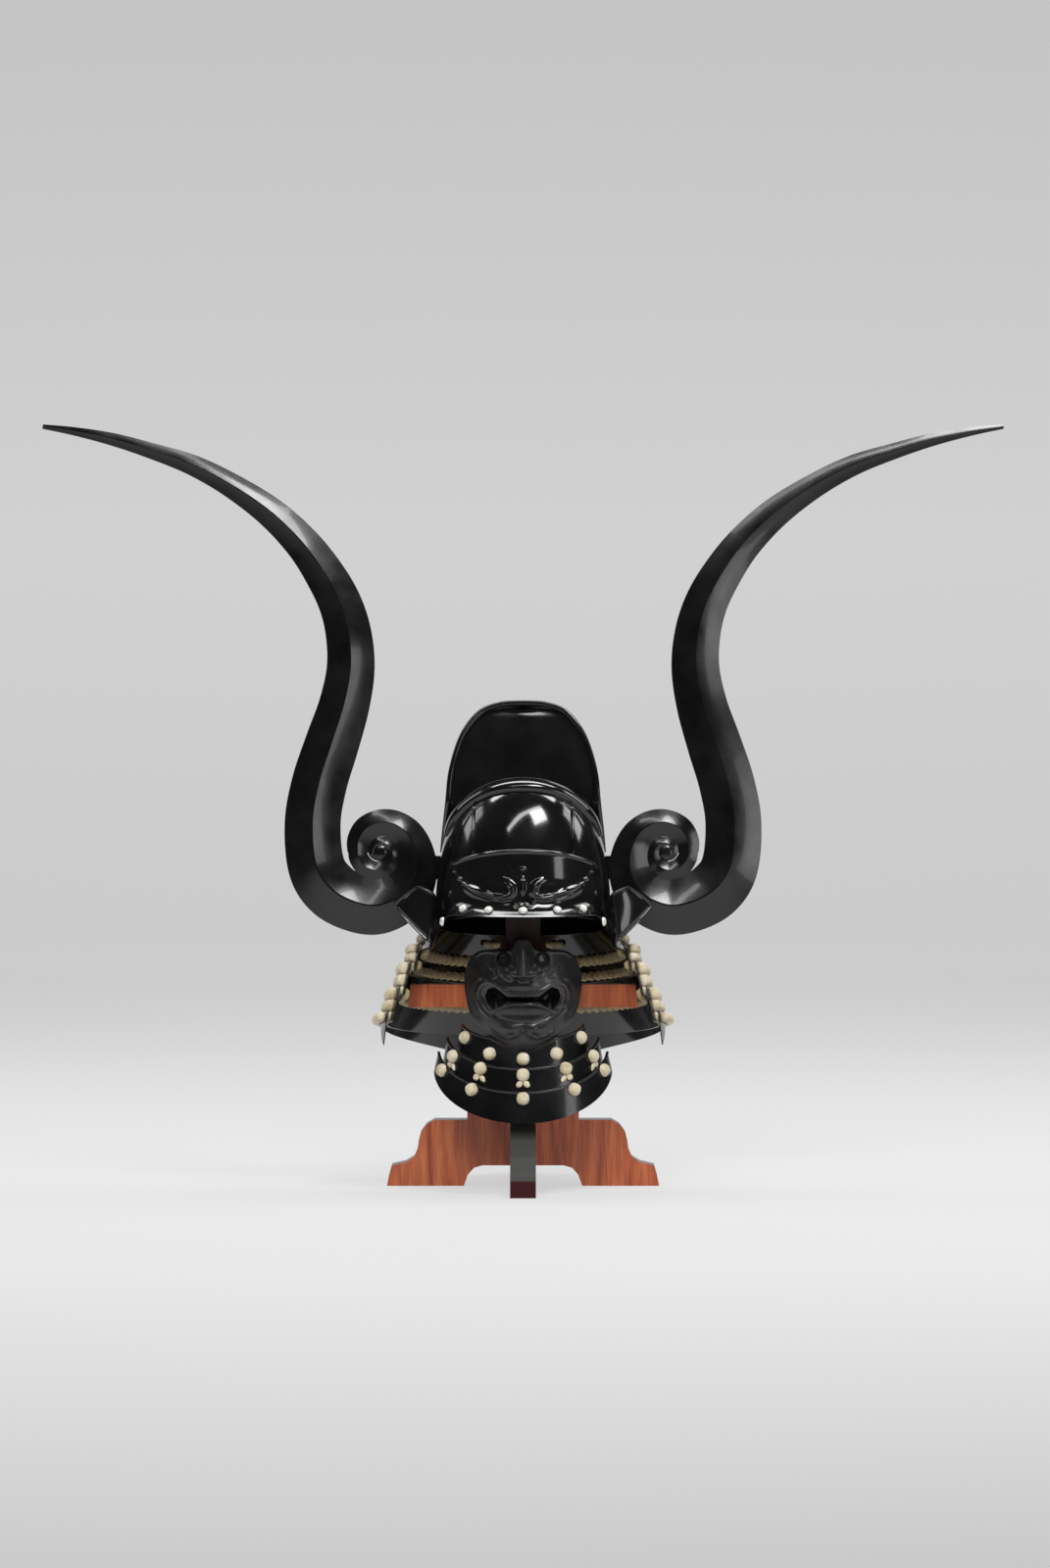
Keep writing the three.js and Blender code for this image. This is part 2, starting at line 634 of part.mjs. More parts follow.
function makeCrest(grow) {
  const stem = CREST_PATH.map(([across, up, width]) =>
    [across * CREST.span / 2, up * CREST.height, width * CREST.halfWidth]);
  const outer = crestLoft([...stem, ...COIL_OUTER.map(coilPoint)], 36, grow);
  const inner = crestLoft(COIL_INNER.map(coilPoint), 14, grow);
  const button = range(4).map((k) => {
    const angle = (Math.PI * (k + 0.5)) / 4;
    return range(8).map((i) => {
      const turn = (2 * Math.PI * i) / 8;
      const radius = COIL.button * Math.sin(angle) + grow;
      return [COIL.x + radius * Math.cos(turn), -0.5 * COIL.button * Math.cos(angle),
        COIL.z + radius * Math.sin(turn)];
    });
  });
  return outer.add(inner).add(loft(button)).simplify(0.4);
}

function makeSocket(crestClear) {
  const middle = BOWL.halfWidth * 0.9 + SOCKET.width / 2;
  const bar = block(SOCKET.width, SOCKET.depth, SOCKET.height, middle,
    SOCKET.y + SOCKET.depth / 2, SOCKET.z);
  return largest(bar.subtract(bowlClear).subtract(crestClear));
}

function largest(shape) {
  const pieces = shape.decompose();
  return pieces.sort((a, b) => b.volume() - a.volume())[0];
}

// Face mask

// Columns: sideways share of the half width, top and foot heights as shares of the face.
const MASK_OUTLINE = [
  [0, 1, 0], [0.1, 0.995, 0], [0.2, 0.91, 0.02], [0.3, 0.895, 0.045], [0.45, 0.895, 0.085],
  [0.58, 0.893, 0.13], [0.72, 0.885, 0.197], [0.82, 0.86, 0.248], [0.9, 0.815, 0.33],
  [0.96, 0.75, 0.43], [1, 0.66, 0.56],
];
// Columns: height share, how far the smooth face stands forward.
const MASK_PROFILE = [
  [0, 0.9], [0.1, 0.955], [0.25, 1], [0.45, 1], [0.65, 0.985], [0.85, 0.945], [1, 0.9],
];

function maskLevel(share) {
  return SEAT_HEIGHT - MASK.drop - MASK.height * (1 - share);
}

function smoothFace(x, z) {
  const share = (z - maskLevel(0)) / MASK.height;
  const forward = MASK.front * read(MASK_PROFILE, share, 1);
  return -forward + MASK.sweep * (Math.abs(x) / MASK.halfWidth) ** 2.3;
}

function bell(value, middle, reach) {
  return Math.exp(-(((value - middle) / reach) ** 2));
}

const NOSE_TIP = 0.686;

// The nose at shares across and up the face; it narrows and flattens towards its bridge.
function noseHeight(across, up) {
  const bridge = Math.min(Math.max((up - NOSE_TIP) / (1 - NOSE_TIP), 0), 1);
  const fall = up < NOSE_TIP ? bell(up, NOSE_TIP, 0.044) : 1 - 0.62 * bridge;
  const reach = NOSE.width / MASK.halfWidth * (1 - 0.3 * bridge);
  return NOSE.height * fall * bell(across, 0, reach);
}

// Swellings and hollows of the face: across, up, reach across and up, height share of the relief.
const SWELLINGS = [
  [0.176, 0.664, 0.108, 0.051, 1], [0.622, 0.635, 0.203, 0.102, 0.78],
  [0.318, 0.825, 0.108, 0.058, -0.56], [0, 0.256, 0.405, 0.029, -0.44],
  [0, 0.146, 0.297, 0.066, 0.78], [0.703, 0.445, 0.108, 0.146, 0.44],
];

// How far the nose, lips, cheeks, chin and hollows stand out of the smooth face.
function faceRelief(x, z) {
  const across = Math.abs(x) / MASK.halfWidth;
  const up = (z - maskLevel(0)) / MASK.height;
  const wave = Math.cos(Math.min(across / 0.595, 1) * Math.PI);
  const within = 1 / (1 + Math.exp((across - 0.65) / 0.04));
  const lips = bell(up, 0.577 - 0.051 * wave, 0.0365) + bell(up, 0.38 + 0.029 * wave, 0.0365);
  const swell = SWELLINGS.reduce((sum, [u, v, wide, tall, height]) =>
    sum + height * bell(across, u, wide) * bell(up, v, tall), 0);
  return noseHeight(across, up) + RELIEF * (0.67 * within * lips + swell);
}

function maskShare(columns) {
  return [...columns.slice(1).reverse().map((u) => -u), ...columns];
}

// A block with the face as its front and a flat back, inset from the outline.
function faceBlock(columns, rows, inset, front, back) {
  const places = maskShare(columns);
  const face = spread(1, 0, rows).map((v) => places.map((u) => {
    const x = u * (MASK.halfWidth - inset);
    const top = maskLevel(read(MASK_OUTLINE, Math.abs(u), 1)) - inset;
    const foot = maskLevel(read(MASK_OUTLINE, Math.abs(u), 2)) + inset;
    const z = foot + v * (top - foot);
    return [x, front(x, z), z];
  }));
  const rear = face.map((row) => row.map(([x, , z]) => [x, back, z]));
  return sheet(face, rear);
}

// The mouth, right half, from the middle of the upper lip round to the lower: shares across
// and up the face.
const MOUTH = [
  [0, 0.479], [0.27, 0.485], [0.378, 0.533], [0.486, 0.573], [0.595, 0.547], [0.635, 0.489],
  [0.595, 0.416], [0.527, 0.38], [0.486, 0.376], [0.453, 0.445], [0.412, 0.383], [0.351, 0.401],
  [0.27, 0.438], [0, 0.434],
];

function makeMask() {
  const columns = [0, 0.05, 0.11, 0.17, 0.23, 0.3, 0.37, 0.45, 0.55, 0.66, 0.77, 0.87, 0.95, 1];
  const outer = faceBlock(columns, 23, 0,
    (x, z) => smoothFace(x, z) - faceRelief(x, z), -MASK.back);
  const coarse = [0, 0.15, 0.35, 0.6, 0.8, 1];
  const inner = faceBlock(coarse, 9, MASK.wall,
    (x, z) => smoothFace(x, z) + MASK.wall + MASK_EASE
      - 0.8 * noseHeight(Math.abs(x) / MASK.halfWidth, (z - maskLevel(0)) / MASK.height),
    -MASK.back / 2);
  const mouth = prism(symmetric(MOUTH), -1.5 * MASK.front, -MASK.back,
    (across, up, y) => [across * MASK.halfWidth, y, maskLevel(up)]);
  return outer.subtract(inner).subtract(mouth).simplify(0.22);
}

// Throat guard

// Sideways reach at the top and foot and forward slope as shares of the half width, heights at
// the middle and the tips as shares of the height, and the knots of one half as [angle from the
// front, share of the way down].
const THROAT_LAMES = [
  {
    name: "throat_lame_1", top: 0.681, foot: 0.743, slope: 0.115,
    high: [0.857, 1], low: [0.504, 0.739], knots: [[0, 0.37], [31, 0.5], [65, 0.3]],
  },
  {
    name: "throat_lame_2", top: 0.85, foot: 0.894, slope: 0.0885,
    high: [0.571, 0.857], low: [0.26, 0.605], knots: [[0, 0.24], [33, 0.22], [63, 0.27]],
  },
  {
    name: "throat_lame_3", top: 0.947, foot: 1, slope: 0.106,
    high: [0.328, 0.706], low: [0, 0.487], knots: [[0, 0.22], [36, 0.22], [68, 0.27]],
  },
];

function throatLevel([middle, tip], lift) {
  return maskLevel(0) - THROAT.drop + THROAT.height * (middle + (tip - middle) * lift);
}

// How far a lame's top reaches forward: the first under the chin, the rest so that the foot
// of the lame above just clears their inside.
function throatTop(lame) {
  const index = THROAT_LAMES.indexOf(lame);
  if (!index) return THROAT.chinReach;
  const above = THROAT_LAMES[index - 1];
  const down = (lame.high[0] - above.low[0]) / (lame.high[0] - lame.low[0]);
  const slope = THROAT.halfWidth * (above.slope - lame.slope * down);
  return throatTop(above) + slope + GAP + THROAT.wall;
}

function throatPoint(lame, angle, down, offset) {
  const lift = (1 - Math.cos(angle)) / (1 - Math.cos(radians(THROAT.tipAngle)));
  const across = THROAT.halfWidth * lame.top * Math.abs(Math.sin(angle)) / MASK.halfWidth;
  const chin = maskLevel(read(MASK_OUTLINE, across, 2)) - 2 * GAP;
  const top = Math.min(throatLevel(lame.high, lift), chin);
  const foot = throatLevel(lame.low, lift);
  const sideways = THROAT.halfWidth * (lame.top + (lame.foot - lame.top) * down) + offset;
  const forward = throatTop(lame) + THROAT.halfWidth * lame.slope * down + offset;
  return [
    sideways * Math.sin(angle),
    -THROAT.centre - forward * Math.cos(angle),
    top + (foot - top) * down,
  ];
}

function makeThroatLame(lame) {
  const angles = spread(-radians(THROAT.tipAngle), radians(THROAT.tipAngle), 23);
  const face = (offset) => [0, 1].map((down) =>
    angles.map((angle) => throatPoint(lame, angle, down, offset)));
  return sheet(face(0), face(-THROAT.wall));
}

function makeKnot(lame, angle, down) {
  const step = 0.05;
  const here = new THREE.Vector3(...throatPoint(lame, angle, down, 0));
  const across = new THREE.Vector3(...throatPoint(lame, angle + step, down, 0)).sub(here);
  const below = new THREE.Vector3(...throatPoint(lame, angle, down + step, 0)).sub(here);
  const out = new THREE.Vector3().crossVectors(below, across).normalize();
  const base = here.addScaledVector(out, GAP + 0.1);
  return dome(KNOT.radius, KNOT.height, 8, base.toArray(), out.toArray());
}

// Stand

// The foot of either board, right half, from the arch to the column: shares of the
// half length across and of the shoulder height up.
const STAND_EDGE = [
  [0.435, 0], [1, 0], [0.985, 0.16], [0.965, 0.31], [0.86, 0.36], [0.8, 0.44], [0.775, 0.56],
  [0.765, 0.7], [0.75, 0.82], [0.71, 0.93], [0.65, 1], [0.41, 1],
];

function standHalf() {
  const arch = [[0, 1], [0.3, 1], [0.36, 0.88], [0.405, 0.55]].map(([across, up]) =>
    [across * STAND.halfLength, up * STAND.foot]);
  const edge = STAND_EDGE.map(([across, up]) =>
    [across * STAND.halfLength, up * STAND.shoulder]);
  return [...arch, ...edge];
}

function symmetric(half) {
  const other = half.filter(([x]) => x > 0).reverse().map(([x, z]) => [-x, z]);
  return [...half, ...other];
}

// The column above the shoulder: shares of its half width at the foot and of the seat's height.
const COLUMN_EDGE = [[1, 0.358], [0.915, 0.4], [0.634, 0.442], [0.563, 0.5], [0.563, 0.62]];

function columnEdge() {
  return COLUMN_EDGE.map(([across, up]) => [across * STAND.columnHalfWidth, up * SEAT_HEIGHT]);
}

function makeFaceBoard() {
  const w = STAND.columnHalfWidth;
  const postTop = SEAT_HEIGHT + BOWL.height;
  const barTop = SEAT_HEIGHT - CROSSBAR.drop;
  const barFoot = barTop - CROSSBAR.depth;
  const fillet = POST.halfWidth * 0.36;
  const half = [
    ...standHalf(), ...columnEdge(), [w * 0.72, barFoot - CROSSBAR.flare], [w * 0.915, barFoot],
    [CROSSBAR.halfWidth + CROSSBAR.flare, barFoot], [CROSSBAR.halfWidth, barTop],
    [POST.halfWidth + fillet, barTop], [POST.halfWidth, barTop + fillet],
    [POST.halfWidth, postTop - POST.padHeight * 1.32], [POST.padHalfWidth, postTop - POST.padHeight],
    [POST.padHalfWidth, postTop],
  ];
  const place = (x, z, y) => [x, y, z];
  const board = prism(symmetric(half), -STAND.board / 2, STAND.board / 2, place);
  const slotWidth = STAND.board + 2 * LAP.gap;
  const slot = block(slotWidth, 2 * STAND.board, LAP.height + LAP.gap, 0, 0,
    (LAP.height + LAP.gap) / 2);
  return board.subtract(slot).subtract(overBowl());
}

// Everything above the brim that isn't inside the bowl, so the pad follows its dome.
function overBowl() {
  const inside = bowlSolid(-BOWL.wall - GAP, -SEAT_HEIGHT).rotate([-TILT, 0, 0])
    .translate([0, 0, SEAT_HEIGHT]);
  const reach = 2 * BOWL.height;
  return block(reach, reach, reach, 0, 0, SEAT_HEIGHT + BOWL.height / 2 + reach / 2)
    .subtract(inside);
}

function makeSideBoard() {
  const armTop = SEAT_HEIGHT - MASK_ARM.drop;
  const armFoot = armTop - MASK_ARM.depth;
  const half = [
    ...standHalf(), ...columnEdge().slice(0, -1),
    [COLUMN_EDGE.at(-1)[0] * STAND.columnHalfWidth, armTop], [0, armTop],
  ];
  const place = (y, z, x) => [x, y, z];
  const board = prism(symmetric(half), -STAND.board / 2, STAND.board / 2, place);
  const front = smoothFace(STAND.board / 2, armFoot) + MASK.wall + MASK_EASE + 4 * GAP;
  const arm = block(STAND.board, -front - MASK_ARM.root, MASK_ARM.depth, 0,
    (front - MASK_ARM.root) / 2, (armTop + armFoot) / 2);
  const slotWidth = STAND.board + 2 * LAP.gap;
  const slot = block(2 * STAND.board, slotWidth, armTop, 0, 0, LAP.height + armTop / 2);
  return board.add(arm).subtract(slot);
}

// Assembly
const helmet = new THREE.Group();
helmet.position.z = SEAT_HEIGHT;
helmet.rotation.x = -tilt;
helmet.add(node("bowl", bowl, lacquer));
helmet.add(node("rear_crown", makeCrown(), lacquer));
helmet.add(node("crown_band", makeBand(), lacquer));
helmet.add(node("rib_left", makeRib(-1), lacquer));
helmet.add(node("rib_right", makeRib(1), lacquer));
helmet.add(node("brow_plate", makeBrow(), lacquer));
RIVET_PLACES.forEach((share, i) =>
  helmet.add(node(`brow_rivet_${i + 1}`, makeRivet(share), silver)));
LAMES.forEach((lame, i) => {
  helmet.add(node(lame.name, makeLame(lame, i), lacquer));
  helmet.add(node(lame.name.replace("lame", "lacing"), makeLacing(lame, i), silk));
});
const crest = makeCrest(0);
const socket = makeSocket(makeCrest(GAP));
helmet.add(node("crest_right", crest, lacquer));
helmet.add(node("crest_left", mirror(crest), lacquer));
helmet.add(node("crest_socket_right", socket, lacquer));
helmet.add(node("crest_socket_left", mirror(socket), lacquer));

const display = new THREE.Group();
display.add(helmet);
display.add(node("face_mask", makeMask(), lacquer));
THROAT_LAMES.forEach((lame, row) => {
  display.add(node(lame.name, makeThroatLame(lame), lacquer));
  const half = lame.knots.slice(1).reverse().map(([angle, down]) => [-angle, down]);
  [...half, ...lame.knots].forEach(([angle, down], i) => display.add(
    node(`throat_knot_${row + 1}_${i + 1}`, makeKnot(lame, radians(angle), down), silk)));
});
display.add(node("stand_board_face", makeFaceBoard(), wood));
display.add(node("stand_board_side", makeSideBoard(), wood));

const kabuto = new THREE.Group();
kabuto.add(display);
display.position.y = -new THREE.Box3().setFromObject(display).getCenter(new THREE.Vector3()).y;

export default kabuto;
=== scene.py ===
"""Looks for the kabuto helmet on its crossed-board stand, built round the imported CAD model.

Lengths are millimetres until a mesh is made. +Z is up and the face looks along -Y.
"""
import math

import bpy
from mathutils import Matrix, Quaternion, Vector


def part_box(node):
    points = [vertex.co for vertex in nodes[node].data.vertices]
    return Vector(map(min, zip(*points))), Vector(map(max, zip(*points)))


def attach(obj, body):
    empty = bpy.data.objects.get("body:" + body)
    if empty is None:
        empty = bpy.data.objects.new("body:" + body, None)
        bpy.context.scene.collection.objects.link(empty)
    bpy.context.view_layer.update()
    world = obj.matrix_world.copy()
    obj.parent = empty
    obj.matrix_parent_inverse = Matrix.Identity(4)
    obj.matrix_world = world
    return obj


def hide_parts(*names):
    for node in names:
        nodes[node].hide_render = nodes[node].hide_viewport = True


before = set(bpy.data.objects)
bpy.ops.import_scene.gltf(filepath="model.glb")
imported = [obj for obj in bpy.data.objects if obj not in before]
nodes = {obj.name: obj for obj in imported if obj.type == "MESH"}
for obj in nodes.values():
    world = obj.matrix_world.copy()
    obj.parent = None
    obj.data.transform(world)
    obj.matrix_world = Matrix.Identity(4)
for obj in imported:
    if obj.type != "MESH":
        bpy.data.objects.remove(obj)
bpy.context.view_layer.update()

# Sizes that repeat the CAD model's
TILT = math.radians(8)
SEAT_HEIGHT = 330
BOWL = {"half_width": 112, "half_length": 127, "height": 186, "wall": 3, "power": 2.15}
CROWN = {"half_width": 101.5, "height": 290, "front_gap": 36, "back_reach": 106}
RIM = {"width": 7, "depth": 7, "hollow": 5}
BAND = {"width": 27, "height": 8}
RIB = {"spread": 62, "width": 4, "height": 3}
BROW = {"half_angle": 58, "top": 83, "drop": 14, "flare": 21, "lip": -5, "sag": 23, "wall": 2.5,
        "lift": 0.6, "rivet_lift": 8.5}
RIVET = {"radius": 5.6, "height": 3.4, "lift": 1.2}
LAME = {"wall": 2, "step": 9.9, "front_steps": 11, "top_steps": 12}
LACE = {"thickness": 5.5, "knot": 10}
NECK = {"drop": 157, "foot_half_width": 186}
WING = {"wall": 2.5, "reach": 49, "height": 77}
CREST = {"span": 1246, "height": 651, "half_width": 36, "depth_share": 0.4, "edge": 1.3}
COIL = {"x": 183, "z": 94, "radius": 72, "button": 11}
MASK = {"half_width": 74, "top": 316, "chin": 179, "front": 120, "back": 42, "sweep": 56}
NOSE = {"height": 26, "width": 11, "tip": 273}
THROAT = {"wall": 2, "centre": 52, "tip_angle": 85, "chin_reach": 62}
KNOT = {"radius": 8.4, "height": 7}
GAP = 0.3

# The display is centred on its own box, so everything is set back by the board's offset.
board_low, board_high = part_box("stand_board_face")
SET_BACK = (board_low.y + board_high.y) / 2
DISPLAY = Matrix.Translation((0, SET_BACK, 0))
HELMET = DISPLAY @ Matrix.Translation((0, 0, SEAT_HEIGHT / 1000)) @ Matrix.Rotation(-TILT, 4, "X")


# Tables and curves

def spread(a, b, count):
    return [a + (b - a) * i / (count - 1) for i in range(count)]


def circle(count):
    return [2 * math.pi * i / count for i in range(count)]


def catmull(rows, t):
    """A smooth curve through the rows of a table; t runs from 0 to 1."""
    last = len(rows) - 1
    place = min(max(t, 0), 1) * last
    i = min(int(place), last - 1)
    s = place - i
    picks = [rows[min(max(i + k, 0), last)] for k in (-1, 0, 1, 2)]
    blended = []
    for a, b, c, d in zip(*picks):
        blended.append(0.5 * (2 * b + (c - a) * s + (2 * a - 5 * b + 4 * c - d) * s * s
                              + (3 * b - a - 3 * c + d) * s ** 3))
    return blended


def read(table, key, column):
    """Smooth reading of a table whose first column rises."""
    if key <= table[0][0]:
        return table[0][column]
    for i, (low, high) in enumerate(zip(table, table[1:])):
        if key <= high[0]:
            before = table[max(i - 1, 0)]
            after = table[min(i + 2, len(table) - 1)]
            width = high[0] - low[0]
            s = (key - low[0]) / width
            start = (high[column] - before[column]) / max(high[0] - before[0], 1e-9) * width
            end = (after[column] - low[column]) / max(after[0] - low[0], 1e-9) * width
            return ((2 * s ** 3 - 3 * s * s + 1) * low[column] + (s ** 3 - 2 * s * s + s) * start
                    + (3 * s * s - 2 * s ** 3) * high[column] + (s ** 3 - s * s) * end)
    return table[-1][column]


def bell(value, centre, width):
    return math.exp(-((value - centre) / width) ** 2)


def bump(x, z, at_x, at_z, wide, tall):
    return bell(x, at_x, wide) * bell(z, at_z, tall)


def step(value, edge, width):
    """Rises from 0 to 1 round an edge."""
    return 1 / (1 + math.exp(-max(min((value - edge) / width, 30), -30)))


def distance_to_path(x, z, path):
    """Distance to a polyline, and how far along it the nearest place is, from 0 to 1."""
    best, along = 1e9, 0
    for i, ((ax, az), (bx, bz)) in enumerate(zip(path, path[1:])):
        dx, dz = bx - ax, bz - az
        t = ((x - ax) * dx + (z - az) * dz) / (dx * dx + dz * dz)
        t = min(max(t, 0), 1)
        d = math.hypot(x - ax - t * dx, z - az - t * dz)
        if d < best:
            best, along = d, (i + t) / (len(path) - 1)
    return best, along


# Materials

class Shader:
    """A small helper that adds nodes to one material."""

    def __init__(self, name):
        self.material = bpy.data.materials.new(name)
        self.material.use_nodes = True
        self.tree = self.material.node_tree
        self.surface = self.tree.nodes["Principled BSDF"]

    def node(self, kind, links=None, **settings):
        made = self.tree.nodes.new(kind)
        for key, value in settings.items():
            if key in made.inputs:
                made.inputs[key].default_value = value
            else:
                setattr(made, key, value)
        for key, source in (links or {}).items():
            self.tree.links.new(source, made.inputs[key])
        return made

    def set(self, **values):
        for key, value in values.items():
            self.surface.inputs[key.replace("_", " ")].default_value = value

    def link(self, source, target):
        self.tree.links.new(source, self.surface.inputs[target])

    def place(self, scale=(1, 1, 1), turn=(0, 0, 0)):
        where = self.node("ShaderNodeTexCoord")
        links = {"Vector": where.outputs["Object"]}
        return self.node("ShaderNodeMapping", links, Scale=scale, Rotation=turn).outputs["Vector"]

    def noise(self, scale, detail=3, stretch=(1, 1, 1), distortion=0.0):
        links = {"Vector": self.place(stretch)}
        made = self.node("ShaderNodeTexNoise", links, Scale=scale, Detail=detail, Distortion=distortion)
        return made.outputs["Fac"]

    def ramp(self, source, stops):
        made = self.node("ShaderNodeValToRGB", {"Fac": source})
        ramp = made.color_ramp
        while len(ramp.elements) < len(stops):
            ramp.elements.new(0.5)
        for element, (place, colour) in zip(ramp.elements, stops):
            element.position = place
            element.color = colour if len(colour) == 4 else (*colour, 1)
        return made.outputs["Color"]

    def rescale(self, source, low, high, out_low, out_high):
        ends = {"From Min": low, "From Max": high, "To Min": out_low, "To Max": out_high}
        return self.node("ShaderNodeMapRange", {"Value": source}, **ends).outputs["Result"]

    def add(self, a, b, scale=1.0):
        """a + scale times b."""
        made = self.node("ShaderNodeMath", operation="MULTIPLY_ADD")
        self.tree.links.new(b, made.inputs[0])
        made.inputs[1].default_value = scale
        self.tree.links.new(a, made.inputs[2])
        return made.outputs[0]

    def mix(self, factor, below, above):
        """The colour below, covered by the colour above as far as the factor goes."""
        made = self.node("ShaderNodeMix", data_type="RGBA")
        self.tree.links.new(factor, made.inputs[0])
        for socket, colour in ((made.inputs[6], below), (made.inputs[7], above)):
            if isinstance(colour, tuple):
                socket.default_value = (*colour, 1)
            else:
                self.tree.links.new(colour, socket)
        return made.outputs[2]

    def bump(self, source, strength, distance, under=None):
        made = self.node("ShaderNodeBump", {"Height": source}, Strength=strength, Distance=distance)
        if under is not None:
            self.tree.links.new(under, made.inputs["Normal"])
        return made.outputs["Normal"]


def make_lacquer(name, rough, mottle, waviness, coat, tone=1.0):
    """Black lacquer: mottled gloss over a surface that was polished by hand."""
    shader = Shader(name)
    shader.set(IOR=1.5, Coat_Weight=coat, Coat_Roughness=0.05)
    cloud = shader.noise(22, 6)
    stops = [(0.35, (0.003, 0.003, 0.0034)), (0.75, (0.008, 0.008, 0.0084))]
    tint = shader.ramp(cloud, [(place, tuple(v * tone for v in colour)) for place, colour in stops])
    shader.link(tint, "Base Color")
    shader.link(shader.rescale(cloud, 0.3, 0.75, rough, rough + mottle), "Roughness")
    hand = shader.bump(shader.noise(30, 1), waviness, 0.0012)
    grain = shader.bump(shader.noise(900, 2), 0.05, 0.0002, hand)
    shader.link(grain, "Normal")
    return shader.material


def make_silver():
    shader = Shader("silver_dome")
    shader.set(Metallic=0.4, Base_Color=(0.86, 0.84, 0.78, 1))
    shader.link(shader.rescale(shader.noise(300, 4), 0.3, 0.7, 0.28, 0.45), "Roughness")
    shader.link(shader.bump(shader.noise(240, 3), 0.15, 0.0003), "Normal")
    return shader.material


def make_silk(name, pitch, tone):
    """Braided silk: two sets of slanted strands that cross, on a cream that yellows in places."""
    shader = Shader(name)
    shader.set(Sheen_Weight=0.35, Sheen_Roughness=0.4, Roughness=0.78)
    shade = shader.noise(60, 4)
    stops = [(0.25, (0.5, 0.4, 0.22)), (0.45, (0.76, 0.68, 0.49)), (0.75, (0.9, 0.84, 0.7))]
    colour = shader.ramp(shade, [(at, tuple(v * t for v, t in zip(cream, tone))) for at, cream in stops])
    shader.link(colour, "Base Color")
    strands = []
    for turn in (0.7, -0.7):
        links = {"Vector": shader.place(turn=(turn, turn, 0))}
        wave = shader.node("ShaderNodeTexWave", links, Scale=1 / pitch, Distortion=1.5)
        strands.append(wave.outputs["Fac"])
    crossed = shader.node("ShaderNodeMath", operation="MAXIMUM")
    shader.tree.links.new(strands[0], crossed.inputs[0])
    shader.tree.links.new(strands[1], crossed.inputs[1])
    shader.link(shader.bump(crossed.outputs[0], 0.55, 0.0008), "Normal")
    return shader.material


# Black of the boards' narrow faces, lightened to grey as a painted reflection.
BLACK_EDGE_AND_PAINTED_SHEEN = (0.075, 0.075, 0.07)
DARK_RED = (0.045, 0.008, 0.01)


def make_wood(name, thin_axis):
    """Red-brown wood with upright grain, and painted shade on the post inside the helmet. The board's
    narrow faces are black lightened to grey as a painted reflection, dark red at the foot.
    """
    shader = Shader(name)
    shader.set(Coat_Weight=0.3, Coat_Roughness=0.15)
    streaks = shader.noise(9, 6, (10, 10, 0.8), 0.4)
    fine = shader.noise(60, 6, (14, 14, 0.5))
    stops = [(0.5, (0.16, 0.024, 0.007)), (0.68, (0.36, 0.07, 0.021)), (0.84, (0.5, 0.125, 0.039)),
             (1.0, (0.62, 0.19, 0.065))]
    wood = shader.ramp(shader.add(streaks, fine, 0.5), stops)
    where = shader.node("ShaderNodeTexCoord")
    height = shader.node("ShaderNodeSeparateXYZ", {"Vector": where.outputs["Object"]}).outputs["Z"]
    # Painted shade: the post is darkened to near black where it stands inside the helmet, in the helmet's
    # shadow.
    wood = shader.mix(shader.rescale(height, 0.25, 0.31, 0, 0.94), wood, (0.006, 0.002, 0.0015))
    facing = shader.node("ShaderNodeNewGeometry").outputs["True Normal"]
    facing = shader.node("ShaderNodeVectorMath", {0: facing}, operation="ABSOLUTE").outputs[0]
    facing = shader.node("ShaderNodeSeparateXYZ", {0: facing}).outputs[thin_axis]
    # The narrow faces: black with a painted reflection, dark red at the foot.
    edge = shader.mix(shader.rescale(height, 0.019, 0.022, 1, 0), BLACK_EDGE_AND_PAINTED_SHEEN, DARK_RED)
    shader.link(shader.mix(shader.rescale(facing, 0.5, 0.7, 1, 0), wood, edge), "Base Color")
    shader.link(shader.rescale(fine, 0.3, 0.7, 0.3, 0.44), "Roughness")
    shader.link(shader.bump(fine, 0.2, 0.0004), "Normal")
    return shader.material


LACQUER = make_lacquer("black_lacquer_gloss", 0.1, 0.08, 0.05, 0.5)
LACQUER_HAND = make_lacquer("black_lacquer_hand", 0.16, 0.16, 0.2, 0.25)
LACQUER_WORN = make_lacquer("black_lacquer_worn", 0.26, 0.14, 0.2, 0.2, 3.2)
SILVER = make_silver()
SILK = make_silk("cream_silk_braid", 0.008, (0.9, 0.88, 0.84))
# A darker, more olive copy of the cream silk: painted shade for the knots inside the neck guard.
SILK_SHADED_INSIDE = make_silk("olive_silk_braid_shaded", 0.008, (0.62, 0.56, 0.4))
WOOD_FACE = make_wood("red_wood_face_board", "Y")
WOOD_SIDE = make_wood("red_wood_side_board", "X")


# Meshes

def round_edges(piece, width, sharp):
    rounding = piece.modifiers.new("rounding", "BEVEL")
    rounding.width = width / 1000
    rounding.segments = 2
    rounding.limit_method = "ANGLE"
    rounding.angle_limit = math.radians(sharp)
    return rounding


def add_object(name, data):
    made = bpy.data.objects.new(name, data)
    bpy.context.scene.collection.objects.link(made)
    return made


def add_mesh(name, shape, material, matrix):
    """A smooth mesh object from millimetre points and faces."""
    points, faces = shape
    mesh = bpy.data.meshes.new(name)
    mesh.from_pydata([Vector(p) / 1000 for p in points], [], faces)
    mesh.validate()
    mesh.transform(matrix)
    mesh.materials.append(material)
    mesh.shade_smooth()
    return add_object(name, mesh)


